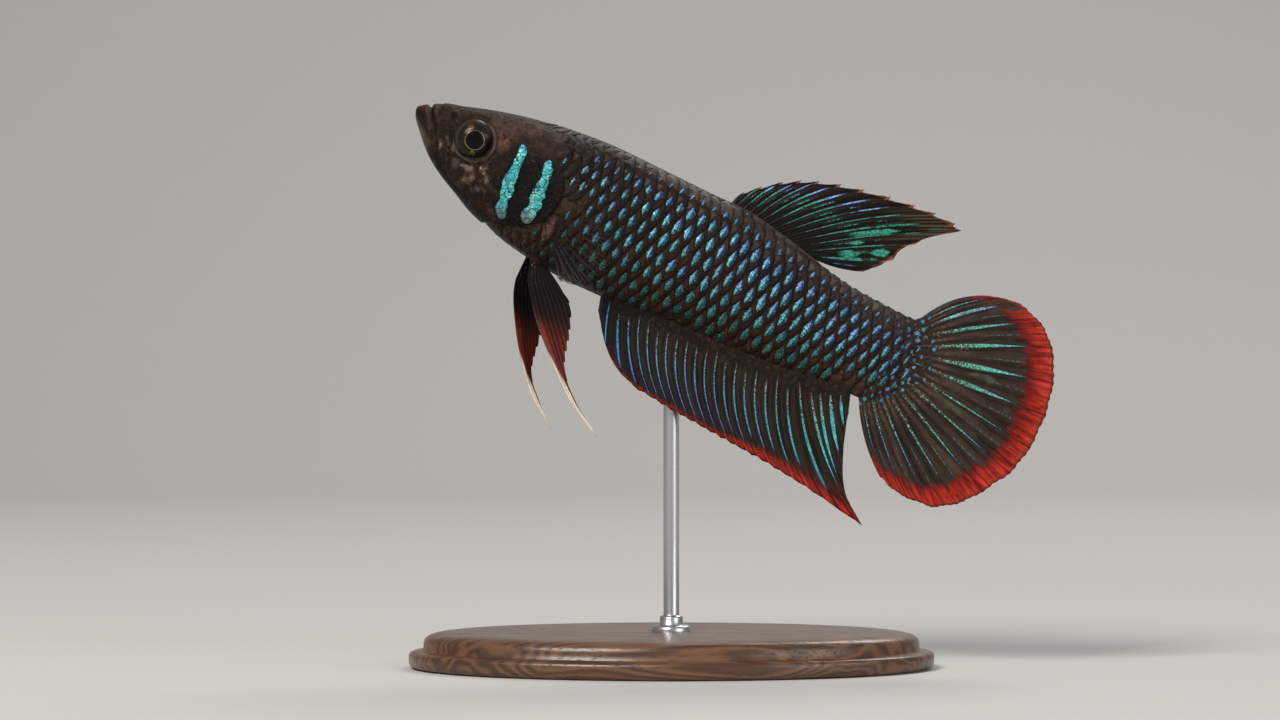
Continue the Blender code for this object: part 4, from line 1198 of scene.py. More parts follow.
def eye_material():
    net = Net("eye", Specular_IOR_Level=0.12, Coat_Roughness=0.03)
    whole, x, z = net.mark("iris")
    x, z = x - 0.17, z + 0.08
    radius = (x * x + z * z) ** 0.5
    place = net.fish_place()
    grain = net.noise(place, 7.0, 5.0, 0.65)
    turned = net.join(x / (radius + 0.05) * 5.0, z / (radius + 0.05) * 5.0, radius * 1.3)
    fibres = net.noise(turned, 1.6, 3.0)
    tone = net.scale((0.017, 0.011, 0.0055), 0.15 + 1.5 * fibres)
    copper_front = net.ramp(net.gap(x, z, (-0.80, 0.88)), 0.36, 0.10)
    copper_rear = net.ramp(net.gap(x, z, (0.84, 0.88)), 0.34, 0.10)
    copper = net.maximum(copper_front, copper_rear) * net.ramp(grain, 0.36, 0.60)
    tone = net.mix(copper * 0.85, tone, (0.26, 0.105, 0.045))
    gold_spot = net.ramp(net.gap(x, z, (0.35, -1.10)), 0.32, 0.08) * net.ramp(grain, 0.38, 0.56)
    tone = net.mix(gold_spot * 0.9, tone, (0.40, 0.34, 0.13))
    shade = net.ramp(x - 0.4 * z, 0.35, 1.2)
    tone = net.mix(shade * 0.6, tone, (0.008, 0.006, 0.005))
    ring = net.band(radius - 0.840, 0.034, 0.012)
    ring_light = net.ramp(z - 0.5 * x, 1.0, -0.6)
    tone = net.mix(ring * (0.40 + 0.45 * ring_light), tone, (0.42, 0.32, 0.20))
    pupil = net.ramp(radius, 0.825, 0.800)
    tone = net.mix(pupil, tone, (0.0012, 0.0012, 0.002))
    border = net.band(whole - 1.30, 0.09, 0.02)
    tone = net.mix(border * 0.7, tone, (0.010, 0.008, 0.006))
    rim = net.ramp(whole, 1.32, 1.40)
    rim_tone = net.mix(net.ramp(x - 1.2 * z, 1.0, -0.8), (0.012, 0.0085, 0.006), (0.042, 0.031, 0.024))
    lines = net.ramp(net.fold(radius + 0.02 * fibres, 0.060), 0.020, 0.052)
    rim_tone = net.scale(rim_tone, 0.50 + 0.75 * lines)
    tone = net.mix(rim, tone, rim_tone)
    tone = net.mix(net.ramp(whole, 1.60, 1.70), tone, (0.018, 0.0125, 0.0105))
    return net.finish(Base_Color=tone, Roughness=0.30 - 0.12 * ring, Coat_Weight=0.14 - 0.08 * pupil,
                      Metallic=0.5 * ring + 0.3 * gold_spot + 0.3 * copper,
                      Normal=net.bump(fibres, 0.03, 0.5))


# ---------------------------------------------------------------- fins

# Place of each ray at the tail fin's base
TAIL_RAYS = (
    0.0, 0.035, 0.078, 0.145, 0.232, 0.335, 0.440, 0.548, 0.648, 0.738, 0.812, 0.872, 0.928, 0.975, 1.0,
)
# How many random numbers make the edge of a fin ragged
RAGGED_STEPS = 400


def fin_sheet(centre, rays, columns, rows, branches=(0.25, 0.12), swell=0.0):
    """Closed two-faced fin over a middle surface, with raised, branching rays and a fleshy base.

    centre(u, v, ray) gives the point and its share of the ray's visible length, from places along
    the base, out to the edge and counted in rays.
    """
    size = sizes()
    thin, thick = size.membrane / MM / 2, size.ray / MM / 2
    v, u = np.meshgrid(even(rows + 1), even(columns + 1), indexing="ij")
    ray = np.interp(u, rays, np.arange(len(rays)))
    middle, share = centre(u, v, ray)
    steps = np.linalg.norm(np.diff(middle, axis=0), axis=2)
    from_start = np.concatenate((np.zeros((1, columns + 1)), np.cumsum(steps, axis=0)))
    length = from_start[-1]
    margin = length - from_start
    inside = -share[0] / (1.0 - share[0]) * length
    front = np.linalg.norm(middle - middle[:, :1], axis=2)
    rear = np.linalg.norm(middle - middle[:, -1:], axis=2)
    edge = np.minimum(margin, np.minimum(front, rear))
    offset = ray - np.round(ray)
    first = branches[0] * ramp(share, 0.38, 0.85)
    second = branches[1] * ramp(share, 0.66, 0.98)
    ridge = np.zeros_like(ray)
    for one in (-1, 1):
        for two in (-1, 1):
            ridge = np.maximum(ridge, hump(offset, one * first + two * second, 0.085))
    fleshy = swell * (1.0 - ramp(from_start - inside, -0.4, 1.5))
    half = thin + fleshy + (thick - thin) * ridge * (1.0 - 0.6 * np.clip(share, 0, 1))
    half = half * np.sqrt(np.clip(edge / 0.22, 0.0, 1.0))
    half[0] = 0.0
    normal = unit(np.cross(np.gradient(middle, axis=0), np.gradient(middle, axis=1)))
    normal *= -np.where(normal[..., 1:2] < 0, -1.0, 1.0)
    left, right = middle + normal * half[..., None], middle - normal * half[..., None]
    fin = vectors(ray, from_start - inside, margin)
    wrap = np.concatenate((left, right[:, -2::-1]), axis=1)
    marks = np.concatenate((fin, fin[:, -2::-1]), axis=1)
    across = np.linspace(0.004, 0.996, 2 * columns + 1)[None]
    bake = vectors(across, np.linspace(0.01, 0.99, rows + 1)[:, None])
    return wrap[None], {"fin": marks[None]}, bake[None]


def median_fin(root, tip, bow, sway, inset, notch, fringe, teeth, seed, saw=0.0):
    """Middle surface of a fin on the fish's middle plane, from lines of roots and tips.

    bow bends the rays within the plane and sway carries them out of it; they start inside the body
    by inset.  notch, fringe (with its number of teeth per ray) and saw cut the edge back.
    """
    random = draws(seed)
    ragged = random.uniform(-1.0, 1.0, RAGGED_STEPS)

    def centre(u, v, ray):
        start, end = root(u), tip(u)
        length = np.linalg.norm(end - start, axis=-1)
        offset = np.abs(ray - np.round(ray))
        trim = notch * ramp(offset, 0.05, 0.5) + fringe * (0.5 - 0.5 * np.cos(math.tau * teeth * ray))
        uneven = np.interp(ray * 3.0, np.arange(RAGGED_STEPS), ragged)
        trim = trim + 0.5 * (notch + fringe) * (0.5 + 0.5 * uneven)
        behind = ray - np.floor(ray)
        trim = trim + saw * (1.0 - behind) * ramp(behind, 0.0, 0.12)
        along = (end - start) / np.maximum(length, 1e-6)[..., None]
        end = end - along * np.minimum(trim, 0.4 * length)[..., None]
        share = (v * (length + inset) - inset) / length
        bent = np.clip(share, 0.0, 1.0)
        across = vectors(-along[..., 2], 0 * length, along[..., 0])
        point = start + (end - start) * share[..., None]
        point = point + across * (bow(u) * length * 4 * bent * (1 - bent))[..., None]
        point[..., 1] = sway(u, bent) + 0.05 * np.cos(math.tau * ray) * ramp(bent, 0.0, 0.4)
        return point, share

    return centre


def flat(a, h):
    return vectors(a, 0.0, h)


def on_back(u):
    a = DORSAL_BASE[0] + (DORSAL_BASE[1] - DORSAL_BASE[0]) * u
    return flat(a, body_lines(a)[0] + 0.1)


def on_belly(u):
    a = ANAL_BASE[0] + (ANAL_BASE[1] - ANAL_BASE[0]) * u
    return flat(a, body_lines(a)[1] - 0.1)


def on_stalk(u):
    h = TAIL_BASE[0] + (TAIL_BASE[1] - TAIL_BASE[0]) * u
    return flat(stalk_end(h) + 0.2, h)


def to_edge(knots):
    return lambda u: flat(*through(knots, u))


def fin_net(name, specular):
    """Material of a fin, with what its marks say.

    That is the place, the number of the ray, the way along it from the body and on to the margin,
    and the share of the whole way.
    """
    net = Net(name, Specular_IOR_Level=specular)
    ray, along, margin = net.mark("fin")
    return net, net.fish_place(), ray, along, margin, along / (along + margin + 0.001)


def finish_fin(net, place, tone, mask):
    """Skin of a fin that is metallic where the mask is."""
    return net.finish(Base_Color=tone, Roughness=0.40 - 0.10 * mask, Metallic=0.35 * mask,
                      Normal=net.bump(net.noise(place, 6.0) + 0.4 * mask, 0.05, 0.6))


def streak(net, ray, v, width, start, stop, place, vary):
    """How strong the metallic line down the middle of each ray is; vary sets how unlike the rays are."""
    chance = net.node("ShaderNodeTexWhiteNoise", {"noise_dimensions": "1D"}, {"W": net.nearest(ray)},
                      out="Value")
    rough = net.fold(ray) + 0.045 * (net.noise(place, 5.0) - 0.5)
    wide = width * ((1.0 - vary) + 2.0 * vary * chance)
    ends = net.ramp(v - 0.10 * chance, start, start + 0.10), net.ramp(v + 0.12 * chance, stop, stop - 0.14)
    return net.ramp(rough / wide, 1.0, 0.55) * ends[0] * ends[1]


def fin_tone(net, ray, v, place, dark, light):
    """Brown membrane with finer and finer lines along the rays."""
    noise = net.noise(place, 1.6)
    uneven = net.noise(net.join(ray * 0.8, v * 1.6, 7.0), 1.0, 2.0)
    lines = net.fold(ray * 2.0 + 1.3 * uneven)
    fine = net.fold(ray * 8.0 + 2.4 * uneven)
    share = 0.34 * net.ramp(lines, 0.0, 0.42) + 0.34 * fine + 0.40 * (noise - 0.30) + 0.8 * (uneven - 0.5)
    return net.mix(share, dark, light)


def tail_material():
    net, place, ray, along, margin, v = fin_net("tail_fin", 0.10)
    h = net.split(place)[2]
    tone = fin_tone(net, ray, v, place, (0.0115, 0.0072, 0.0054), (0.076, 0.050, 0.036))
    cloudy = net.noise(net.join(ray * 1.1, v * 2.2), 1.0, 3.0)
    tone = net.scale(tone, 0.55 + 0.9 * cloudy)
    inner = net.fold(ray)
    windows = net.ramp(net.noise(net.join(ray * 0.9, v * 2.6, 3.0), 1.0, 2.0), 0.52, 0.62)
    windows = windows * net.ramp(v, 0.22, 0.42) * net.ramp(v, 0.78, 0.6) * net.ramp(inner, 0.18, 0.34)
    windows = windows * net.ramp(ray, 3.4, 4.4) * net.ramp(ray, 9.5, 8.0)
    tone = net.mix(windows * 0.6, tone, (0.100, 0.110, 0.075))
    base = net.ramp(along, 2.6, 0.4)
    tone = net.mix(base * 0.75, tone, (0.026, 0.017, 0.013))
    stems = net.ramp(net.fold(ray * 2.0), 0.34, 0.10) * net.ramp(along, 3.4, 1.2) * net.ramp(along, 0.1, 0.9)
    stems = stems * net.ramp(net.noise(place, 3.0, 4.0, 0.7), 0.34, 0.60)
    tone = net.mix(stems * 0.7, tone, (0.115, 0.082, 0.058))
    specks = net.ramp(net.noise(place, 6.5, 2.0), 0.60, 0.67) * net.ramp(along, 4.4, 1.8)
    specks = specks * net.ramp(inner, 0.26, 0.10)
    tone = net.mix(specks * 0.85, tone, (0.30, 0.36, 0.26))
    tone = freckled(net, place, tone, net.ramp(along + 0.8 * (net.noise(place, 1.2) - 0.5), 1.0, 0.5))

    broad = net.band(ray - 4.6, 2.2, 0.6)
    number_width = 0.070 + 0.095 * broad + 0.070 * net.ramp(ray, 3.4, 2.2)
    first = net.ramp(ray, 3.4, 2.3)
    taper = 1.0 - (0.92 - 0.50 * first) * net.ramp(v, 0.28, 0.80)
    number_width = number_width * (0.36 + 0.64 * net.ramp(v, 0.06, 0.32)) * taper
    mask = streak(net, ray, v, number_width, 0.03, 0.88, place, 0.22)
    dots = net.ramp(net.noise(place, 5.5, 2.0), 0.46, 0.56)
    solid = net.ramp(v + 0.10 * broad + 0.30 * first, 0.34, 0.54)
    mask = mask * net.maximum(dots, solid * (0.58 + 0.42 * dots))
    glow = net.chances(place, 9.5)
    blueness = 0.05 + 0.62 * net.ramp(v, 0.36, 0.86) + 0.35 * net.ramp(ray, 3.2, 1.2)
    blueness = blueness + 0.42 * net.ramp(ray, 9.8, 12.2)
    colour = sheen(net, blueness)
    colour = net.mix(0.22 + 0.40 * net.ramp(v, 0.34, 0.06), colour, (0.36, 0.54, 0.42))
    colour = net.mix(0.50 * net.ramp(ray, 3.3, 1.8), colour, (0.45, 0.62, 1.0))
    colour = net.scale(colour, 0.34 + 0.85 * glow[0] * glow[1] * 1.6 + 0.22 * broad)
    tone = net.mix(mask, tone, colour)
    dark_side = net.band(inner - number_width * 1.5 - 0.015, 0.03, 0.01)
    tone = net.mix(dark_side * (1.0 - mask) * 0.6 * net.ramp(v, 0.15, 0.3), tone, (0.006, 0.004, 0.0035))
    between = net.fold(ray + 0.5)
    second = net.ramp(between, 0.030, 0.012) * net.ramp(v, 0.40, 0.55) * net.ramp(v, 0.86, 0.76) * dots
    tone = net.mix(second * 0.5, tone, (0.07, 0.24, 0.24))

    ends = net.ramp(h, 8.95, 7.9) * net.ramp(h, -10.8, -9.0)
    flames = net.noise(net.join(ray * 3.2, margin * 0.35), 1.0, 4.0, 0.65) - 0.5
    width = 0.30 + 1.80 * ends + 0.35 * net.band(ray - 5.0, 3.5, 0.5)
    red = net.ramp(margin + (0.6 + 2.6 * ends) * flames, width + 0.45, width - 0.40)
    hue = net.mix(net.ramp(margin, 2.6, 0.7), (0.17, 0.013, 0.011), colours().red)
    hue = net.mix(net.ramp(margin + flames, 0.9, 0.2) * 0.35, hue, (0.70, 0.095, 0.050))
    strands = net.noise(net.join(ray * 5.0, margin * 0.35), 1.4, 4.0, 0.7)
    hue = net.scale(hue, 1.20 * net.ramp(strands, 0.18, 0.82))
    twigs = net.fold(ray * 4.0 + 0.30 * flames)
    veins = net.ramp(twigs, 0.14, 0.03) * net.noise(net.join(ray * 3.0, margin), 1.0) * 1.3
    veins = net.maximum(veins, net.ramp(inner, 0.035, 0.012))
    hue = net.mix(veins * 0.80, hue, (0.030, 0.009, 0.009))
    tone = net.mix(red * (1.0 - 0.5 * mask), tone, hue)
    tone = net.mix(net.ramp(margin, 0.16, 0.03) * 0.5, tone, (0.20, 0.075, 0.060))
    front_edge = net.ramp(ray, 0.16, 0.04) * net.ramp(v, 0.80, 0.55)
    tone = net.mix(front_edge * 0.75, tone, (0.12, 0.16, 0.22))
    dull = net.ramp(ray, 1.7, 0.4) * net.ramp(margin, 3.5, 2.0)
    tone = net.mix(dull * 0.45, tone, (0.050, 0.026, 0.022))
    return finish_fin(net, place, tone, mask)


def anal_material():
    net, place, ray, along, margin, v = fin_net("anal_fin", 0.10)
    a = net.split(place)[0]
    tone = fin_tone(net, ray, v, place, (0.0080, 0.0052, 0.0042), (0.044, 0.029, 0.020))
    base = net.ramp(along + 0.9 * (net.noise(place, 1.5) - 0.5), 1.9, 0.8)
    tone = net.mix(base * 0.9, tone, pebbles(net, place, (0.012, 0.0076, 0.0056), (0.066, 0.042, 0.031)))
    front_dark = net.ramp(ray, 6.0, 0.0)
    tone = net.mix(front_dark * 0.6, tone, (0.005, 0.0055, 0.009))
    rear_width = net.ramp(ray, 19.6, 21.4)
    width = 0.074 + 0.028 * net.ramp(v, 0.10, 0.5) * net.ramp(v, 0.95, 0.6)
    wider = 0.15 * rear_width * net.ramp(v, 0.04, 0.30) * net.ramp(v, 0.85, 0.50) * net.ramp(ray, 24.6, 23.6)
    width = width + wider
    mask = streak(net, ray, v, width, 0.03, 1.04 - 0.16 * net.ramp(a, 30.0, 44.0), place, 0.18)
    dots = net.ramp(net.noise(place, 6.5, 2.0), 0.40, 0.52)
    mask = mask * net.maximum(dots, net.ramp(v, 0.26, 0.46) * 0.9)
    glow = net.chances(place, 9.0)
    colour = sheen(net, 0.55 + 0.24 * net.ramp(v, 0.30, 0.85) - 0.28 * net.ramp(ray, 13.0, 21.0))
    pale = net.ramp(v, 0.46, 0.10) * net.ramp(ray, 2.0, 6.0)
    colour = net.mix(pale * 0.75, colour, (0.36, 0.40, 0.30))
    colour = net.scale(colour, (0.42 + 0.85 * glow[0]) * (0.78 + 0.25 * rear_width))
    tone = net.mix(mask, tone, colour)

    red_width = 0.30 + 0.30 * net.ramp(a, 24.0, 34.0) + 1.9 * net.ramp(a, 35.0, 45.5)
    red_width = red_width + 1.3 * net.ramp(a, 44.0, 49.0)
    flames = net.noise(net.join(ray * 2.2, margin * 0.45), 1.0, 4.0, 0.65) - 0.5
    red = net.ramp(margin + 1.5 * flames * net.ramp(a, 26.0, 40.0), red_width * 1.30, red_width * 0.60)
    red = red * net.ramp(ray, 0.6, 2.0) * net.ramp(ray, 22.0, 21.2)
    vivid = net.ramp(a, 30.0, 44.0)
    outer = net.ramp(margin + flames, 2.2, 0.3) * (0.35 + 0.65 * vivid)
    hue = net.mix(outer, (0.115, 0.018, 0.014), colours().red)
    strands = net.noise(net.join(ray * 4.0, margin * 0.4), 1.4, 4.0, 0.7)
    hue = net.scale(hue, 1.35 * net.ramp(strands, 0.15, 0.85))
    lines = net.fold(ray * 2.0 + 0.30 * flames)
    hue = net.mix(net.ramp(lines, 0.20, 0.04) * 0.85, hue, (0.014, 0.007, 0.009))
    tone = net.mix(red * (1.0 - 0.80 * mask), tone, hue)
    tip = net.ramp(a, 49.6, 51.2)
    tone = net.mix(tip * 0.8, tone, (0.022, 0.008, 0.009))
    lip = net.ramp(margin, 0.14, 0.03)
    tone = net.mix(lip * 0.40 * net.ramp(ray, 23.0, 19.0), tone, (0.24, 0.09, 0.07))
    front_edge = net.ramp(ray, 0.45, 0.10)
    tone = net.mix(front_edge * 0.6, tone, (0.018, 0.040, 0.060))
    return finish_fin(net, place, tone, mask)


def dorsal_material():
    net, place, ray, along, margin, v = fin_net("dorsal_fin", 0.10)
    tone = fin_tone(net, ray, v, place, (0.0042, 0.0032, 0.0027), (0.018, 0.011, 0.0075))
    width = 0.055 + 0.060 * net.ramp(v, 0.05, 0.35) * net.ramp(v, 0.95, 0.55)
    mask = streak(net, ray, v, width, 0.02, 0.94, place, 0.3)
    glow = net.chances(place, 8.5)
    dots = net.ramp(net.noise(place, 6.0, 2.0), 0.40, 0.53)
    mask = mask * net.maximum(dots, net.ramp(v, 0.10, 0.28) * 0.92)
    breaks = net.ramp(net.noise(net.join(ray * 1.3, along * 0.75), 1.0, 1.0), 0.40, 0.50)
    mask = mask * (1.0 - net.ramp(ray, 5.5, 8.0) * net.ramp(v, 0.25, 0.5) * (1.0 - breaks) * 0.85)
    between = streak(net, ray + 0.5, v, 0.070, 0.22, 0.78, place, 0.3)
    between = between * dots * net.ramp(net.noise(net.join(ray * 0.9, v * 4.0), 1.2), 0.46, 0.54)
    gap = net.nearest(ray + 0.5)
    dashes = net.noise(net.join(gap * 7.3, along * 0.34 + 2.6), 1.0, 0.0)
    lens = net.fold(ray + 0.42) + 0.30 * (net.noise(place, 2.2, 4.0, 0.7) - 0.5)
    patch = net.ramp(dashes - 0.42 * lens, 0.40, 0.45) * net.ramp(lens, 0.34, 0.22)
    patch = patch * net.ramp(ray, 9.6, 10.4) * net.ramp(ray, 13.6, 13.1)
    patch = patch * net.ramp(v, 0.30, 0.42) * net.ramp(v, 0.96, 0.86)
    mask = net.maximum(net.maximum(mask, between * 0.8), patch * (0.45 + 0.45 * dots))
    upper = net.ramp(v, 0.42, 0.72) * net.ramp(ray, 9.5, 7.5) * net.ramp(ray, 1.2, 2.2)
    last = net.ramp(ray, 13.1, 13.5)
    colour = sheen(net, 0.06 + 0.70 * net.maximum(upper, last))
    colour = net.mix(upper * 0.45, colour, (0.42, 0.56, 0.86))
    near = net.ramp(v, 0.20, 0.06)
    colour = net.mix(near * 0.5, colour, (0.30, 0.62, 0.50))
    colour = net.scale(colour, (0.28 + 0.75 * glow[0]) * (0.66 + 0.62 * upper + 0.22 * patch + 0.5 * near))
    tone = net.mix(mask, tone, colour)
    dim = net.ramp(margin, 4.2, 2.2) * net.ramp(ray, 8.0, 9.2) * net.ramp(ray, 11.9, 11.2)
    straws = net.ramp(net.fold(ray * 3.0), 0.10, 0.40)
    tone = net.mix(dim * 0.85, tone, net.mix(straws, (0.010, 0.0068, 0.0045), (0.078, 0.052, 0.032)))
    tips = net.ramp(net.fold(ray), 0.30, 0.08)
    rusty = net.noise(place, 2.2) - 0.5
    back = net.ramp(ray, 4.6, 6.6)
    ends = net.ramp(margin + 0.6 * rusty, 0.14 + 0.40 * tips + 0.20 * back, 0.02 + 0.12 * tips + 0.08 * back)
    ends = ends * (0.5 + 0.4 * back) * net.ramp(ray, 0.6, 3.2)
    rust = net.mix(net.noise(place, 3.0), (0.08, 0.020, 0.011), (0.28, 0.080, 0.038))
    tone = net.mix(ends, tone, rust)
    points = net.ramp(net.fold(ray), 0.14, 0.05) * net.ramp(margin, 0.40, 0.20)
    tone = net.mix(points * 0.7, tone, (0.36, 0.20, 0.14))
    front_edge = net.ramp(ray, 0.35, 0.08)
    tone = net.mix(front_edge * 0.6, tone, (0.10, 0.070, 0.055))
    return finish_fin(net, place, tone, mask)


def flank_out(a, h):
    """How far out the flank lies at a distance and a height."""
    back, belly, half_width = body_lines(a)
    middle = belly + WIDEST * (back - belly)
    above, below = through(FULLNESS, a)
    reach = np.where(h > middle, back - middle, middle - belly)
    cosine = np.minimum(1.0, np.abs(h - middle) / reach)
    return half_width * np.sqrt(1.0 - cosine * cosine) ** np.where(h > middle, above, below)


def pectoral_centre(side):
    random = draws(40)
    ragged = random.uniform(0.0, 1.0, 60)

    def centre(u, v, ray):
        a0, h0 = through(PECTORAL_ROOT, u)
        y0 = flank_out(a0, h0) + 0.28
        a1, h1 = through(PECTORAL_EDGE, u)
        reach = np.hypot(a1 - a0, h1 - h0)
        trim = 1.0 - (0.10 * ramp(np.abs(ray - np.round(ray)), 0.1, 0.5)
                      + 0.10 * np.interp(ray * 2.0, np.arange(60), ragged)) / reach
        share = v * 1.10 - 0.10
        bent = np.clip(share, 0.0, 1.0)
        a, h = a0 + (a1 - a0) * share * trim, h0 + (h1 - h0) * share * trim
        y = y0 + PECTORAL_FLARE * reach * bent ** 0.9 + 0.4 * np.minimum(share, 0.0)
        y = y + 0.05 * np.cos(math.tau * ray) * bent
        return vectors(a, side * y, h), share

    return centre


def pectoral_material():
    net, place, ray, along, _, v = fin_net("pectoral_fin", 0.08)
    distance = net.fold(ray)
    spread = 0.25 * net.ramp(v, 0.45, 0.95)
    line = net.band(distance - spread, 0.11, 0.04)
    lower = net.ramp(ray, 6.0, 8.6)
    tone = net.mix(line, (0.010, 0.0075, 0.0085), (0.042, 0.030, 0.033))
    tone = net.scale(tone, 0.5 + 1.0 * net.noise(place, 3.0))
    joints = net.ramp(net.maths("SINE", along * 15.0), 0.6, 1.0)
    tone = net.mix(joints * line * 0.4, tone, (0.15, 0.12, 0.11))
    root = net.ramp(along, 0.8, 0.1)
    tone = net.mix(root * 0.6, tone, (0.020, 0.012, 0.013))
    return net.finish(Base_Color=tone, Roughness=0.40,
                      Alpha=0.06 + 0.13 * line + 0.36 * lower * (0.55 + 0.45 * line) + 0.25 * root,
                      Normal=net.bump(net.noise(place, 6.0), 0.04, 0.5))


PELVIC_ROOT = (15.0, -7.15)
# Which ray ends on the rear edge at each share of the fin's length; the first ones are the filament
PELVIC_RAYS = ((0.17, 1.0), (0.24, 0.76), (0.40, 0.60), (0.62, 0.46), (0.82, 0.32), (1.0, 0.15))


def pelvic_centre(knots, side):
    """Rays that fan out of one root and end on the rear edge one after another."""
    order, lengths = np.array(PELVIC_RAYS).T

    def centre(u, v, ray):
        offset = np.abs(ray - np.round(ray))
        reach = np.interp(u, order, lengths) - 0.03 * ramp(offset, 0.08, 0.5) * (u > 0.2)
        share = v * reach
        last = np.interp(share, lengths[::-1], order[::-1])
        across = np.clip(u / np.maximum(last, u), 0.0, 1.0)
        front_a, front_h, rear_a, rear_h = through(knots, share)
        slim = (1.0 - 0.50 * ramp(share, 0.62, 1.0)) * (1.0 - 0.8 * ramp(share, 0.90, 1.0))
        across = 0.35 + (across - 0.35) * slim
        out = np.clip(share / 0.10, 0.0, 1.0)
        a = PELVIC_ROOT[0] + (front_a + (rear_a - front_a) * across - PELVIC_ROOT[0]) * (0.72 + 0.28 * out)
        h = PELVIC_ROOT[1] + (front_h + (rear_h - front_h) * across - PELVIC_ROOT[1]) * out
        y = 0.9 + 2.3 * share ** 1.3 + 0.25 * across * np.sin(math.pi * share)
        y = y + 0.05 * np.cos(math.tau * ray) * ramp(share, 0.0, 0.2) * ramp(share, 0.75, 0.45)
        return vectors(a, side * y, h), v

    return centre


def pelvic_material(name, dark, red):
    net, place, ray, along, _, _ = fin_net(name, 0.08)
    line = net.ramp(net.fold(ray), 0.15, 0.05)
    fine = net.ramp(net.fold(ray * 3.0 + 0.3 * net.noise(place, 2.0)), 0.05, 0.30)
    base = net.mix(line, net.scale(dark, 0.45 + 0.55 * fine), net.scale(dark, 2.0))
    deep = net.mix(line, net.scale(red, 0.35 + 0.65 * fine), net.scale(red, 1.8))
    low = along + 1.8 * (net.noise(place, 0.8) - 0.5) + 0.50 * net.ramp(ray, 4.0, 1.0)
    tone = net.mix(net.ramp(low, 4.4, 8.4), base, deep)
    pink = net.ramp(ray, 1.9, 0.9) * net.ramp(along, 4.6, 7.0)
    tone = net.mix(pink * 0.6, tone, net.scale(red, 3.0))
    long_ones = net.ramp(ray, 1.9, 1.5)
    white = net.ramp(along - 2.2 * net.ramp(ray, 0.1, 1.6), 8.2, 9.8) * long_ones
    lead = net.ramp(ray, 0.30, 0.10) * net.ramp(along, 3.0, 7.0)
    tone = net.mix(lead * 0.5, tone, (0.16, 0.10, 0.085))
    seam = net.band(ray - 0.9, 0.25, 0.08) * net.ramp(along, 13.5, 10.5)
    tone = net.mix(white, tone, net.mix(seam * 0.6, (0.74, 0.64, 0.54), (0.24, 0.10, 0.085)))
    flecks = net.ramp(net.noise(place, 5.5, 2.0), 0.56, 0.64) * net.ramp(along, 2.8, 0.6)
    flecks = flecks * net.ramp(ray, 3.6, 2.0) * line
    tone = net.mix(flecks * 0.8, tone, (0.42, 0.30, 0.27))
    tone = net.scale(tone, 0.60 + 0.80 * net.noise(place, 3.5, 4.0))
    return net.finish(Base_Color=tone, Roughness=0.42 - 0.06 * line,
                      Normal=net.bump(net.noise(place, 6.0) + line, 0.05, 0.6))


# ---------------------------------------------------------------- stand

BASE_SIZE = (46.0, 30.0)
BASE_PROFILE = (
    (0.0, 0.0), (0.90, 0.0), (0.975, 0.05), (0.995, 0.25), (1.0, 0.5), (1.0, 1.15), (0.997, 1.35),
    (0.985, 1.5), (0.965, 1.58), (0.950, 1.60), (0.945, 1.66), (0.944, 2.25), (0.938, 2.62), (0.922, 2.9),
    (0.895, 3.07), (0.865, 3.15), (0.82, 3.19), (0.70, 3.2), (0.35, 3.2), (0.0, 3.2),
)
ROD_PLACE = (0.0, 1.6)
ROD_PROFILE = (
    (0.0, 1.3), (1.75, 1.3), (1.75, 3.15), (1.75, 3.42), (1.66, 3.58), (1.45, 3.66), (1.12, 3.68),
    (1.05, 3.74), (1.02, 4.3), (0.98, 4.42), (0.86, 4.5), (0.72, 4.52), (0.70, 4.6), (0.70, 12.0),
    (0.70, 22.0), (0.70, 33.9), (0.62, 34.15), (0.0, 34.2),
)


BASE_SIDES = 128
ROD_SIDES = 40


def turned(name, profile, widths, middle, around):
    """Mesh turned from a profile of (radius, height), stretched to an oval by widths."""
    table = np.array(profile)
    turn = np.linspace(0.0, math.tau, around + 1)[None]
    points = vectors(middle[0] + widths[0] * table[:, :1] * np.cos(turn),
                     middle[1] + widths[1] * table[:, :1] * np.sin(turn),
                     table[:, 1:] + 0 * turn)[None] * MM
    bake = vectors(turn / math.tau, even(len(table))[:, None])
    return lay_out(name, points, bake=bake[None], weld=True, carry=np.array)


def walnut_material():
    net = Net("walnut", Specular_IOR_Level=0.4, Coat_Roughness=0.25)
    rings = net.noise(net.own_place((13.0, 130.0, 130.0), (0.0, 0.05, 0.04)), 1.0, 3.0, 0.45)
    grain = net.fold(rings * 22.0)
    fibre = net.noise(net.own_place((420.0, 7000.0, 7000.0)), 1.0, 3.0)
    pore = net.ramp(fibre, 0.56, 0.66)
    tone = net.mix(net.ramp(grain + 0.5 * (fibre - 0.5), 0.06, 0.44), (0.070, 0.031, 0.016), colours().walnut)
    tone = net.mix(pore * 0.6, tone, (0.030, 0.014, 0.008))
    tone = net.scale(tone, 0.6 + 0.8 * rings)
    return net.finish(Base_Color=tone, Roughness=0.34 + 0.18 * pore, Coat_Weight=0.35 - 0.2 * pore,
                      Normal=net.bump(1.0 - pore, 0.03, 0.5))


def steel_material():
    net = Net("brushed_steel", Base_Color=(0.60, 0.60, 0.61), Metallic=1.0)
    lines = net.noise(net.own_place((900.0, 900.0, 26000.0)), 1.0, 2.0)
    return net.finish(Roughness=0.24 + 0.16 * lines, Normal=net.bump(lines, 0.01, 0.35))


# ---------------------------------------------------------------- studio

def studio_material():
    net = Net("studio_paper", Specular_IOR_Level=0.2)
    place = net.node("ShaderNodeTexCoord", out="Object")
    tooth = net.noise(place, 900.0, 3.0)
    return net.finish(Base_Color=net.scale((0.62, 0.60, 0.57), 0.985 + 0.03 * tooth),
                      Roughness=0.85 + 0.1 * tooth)


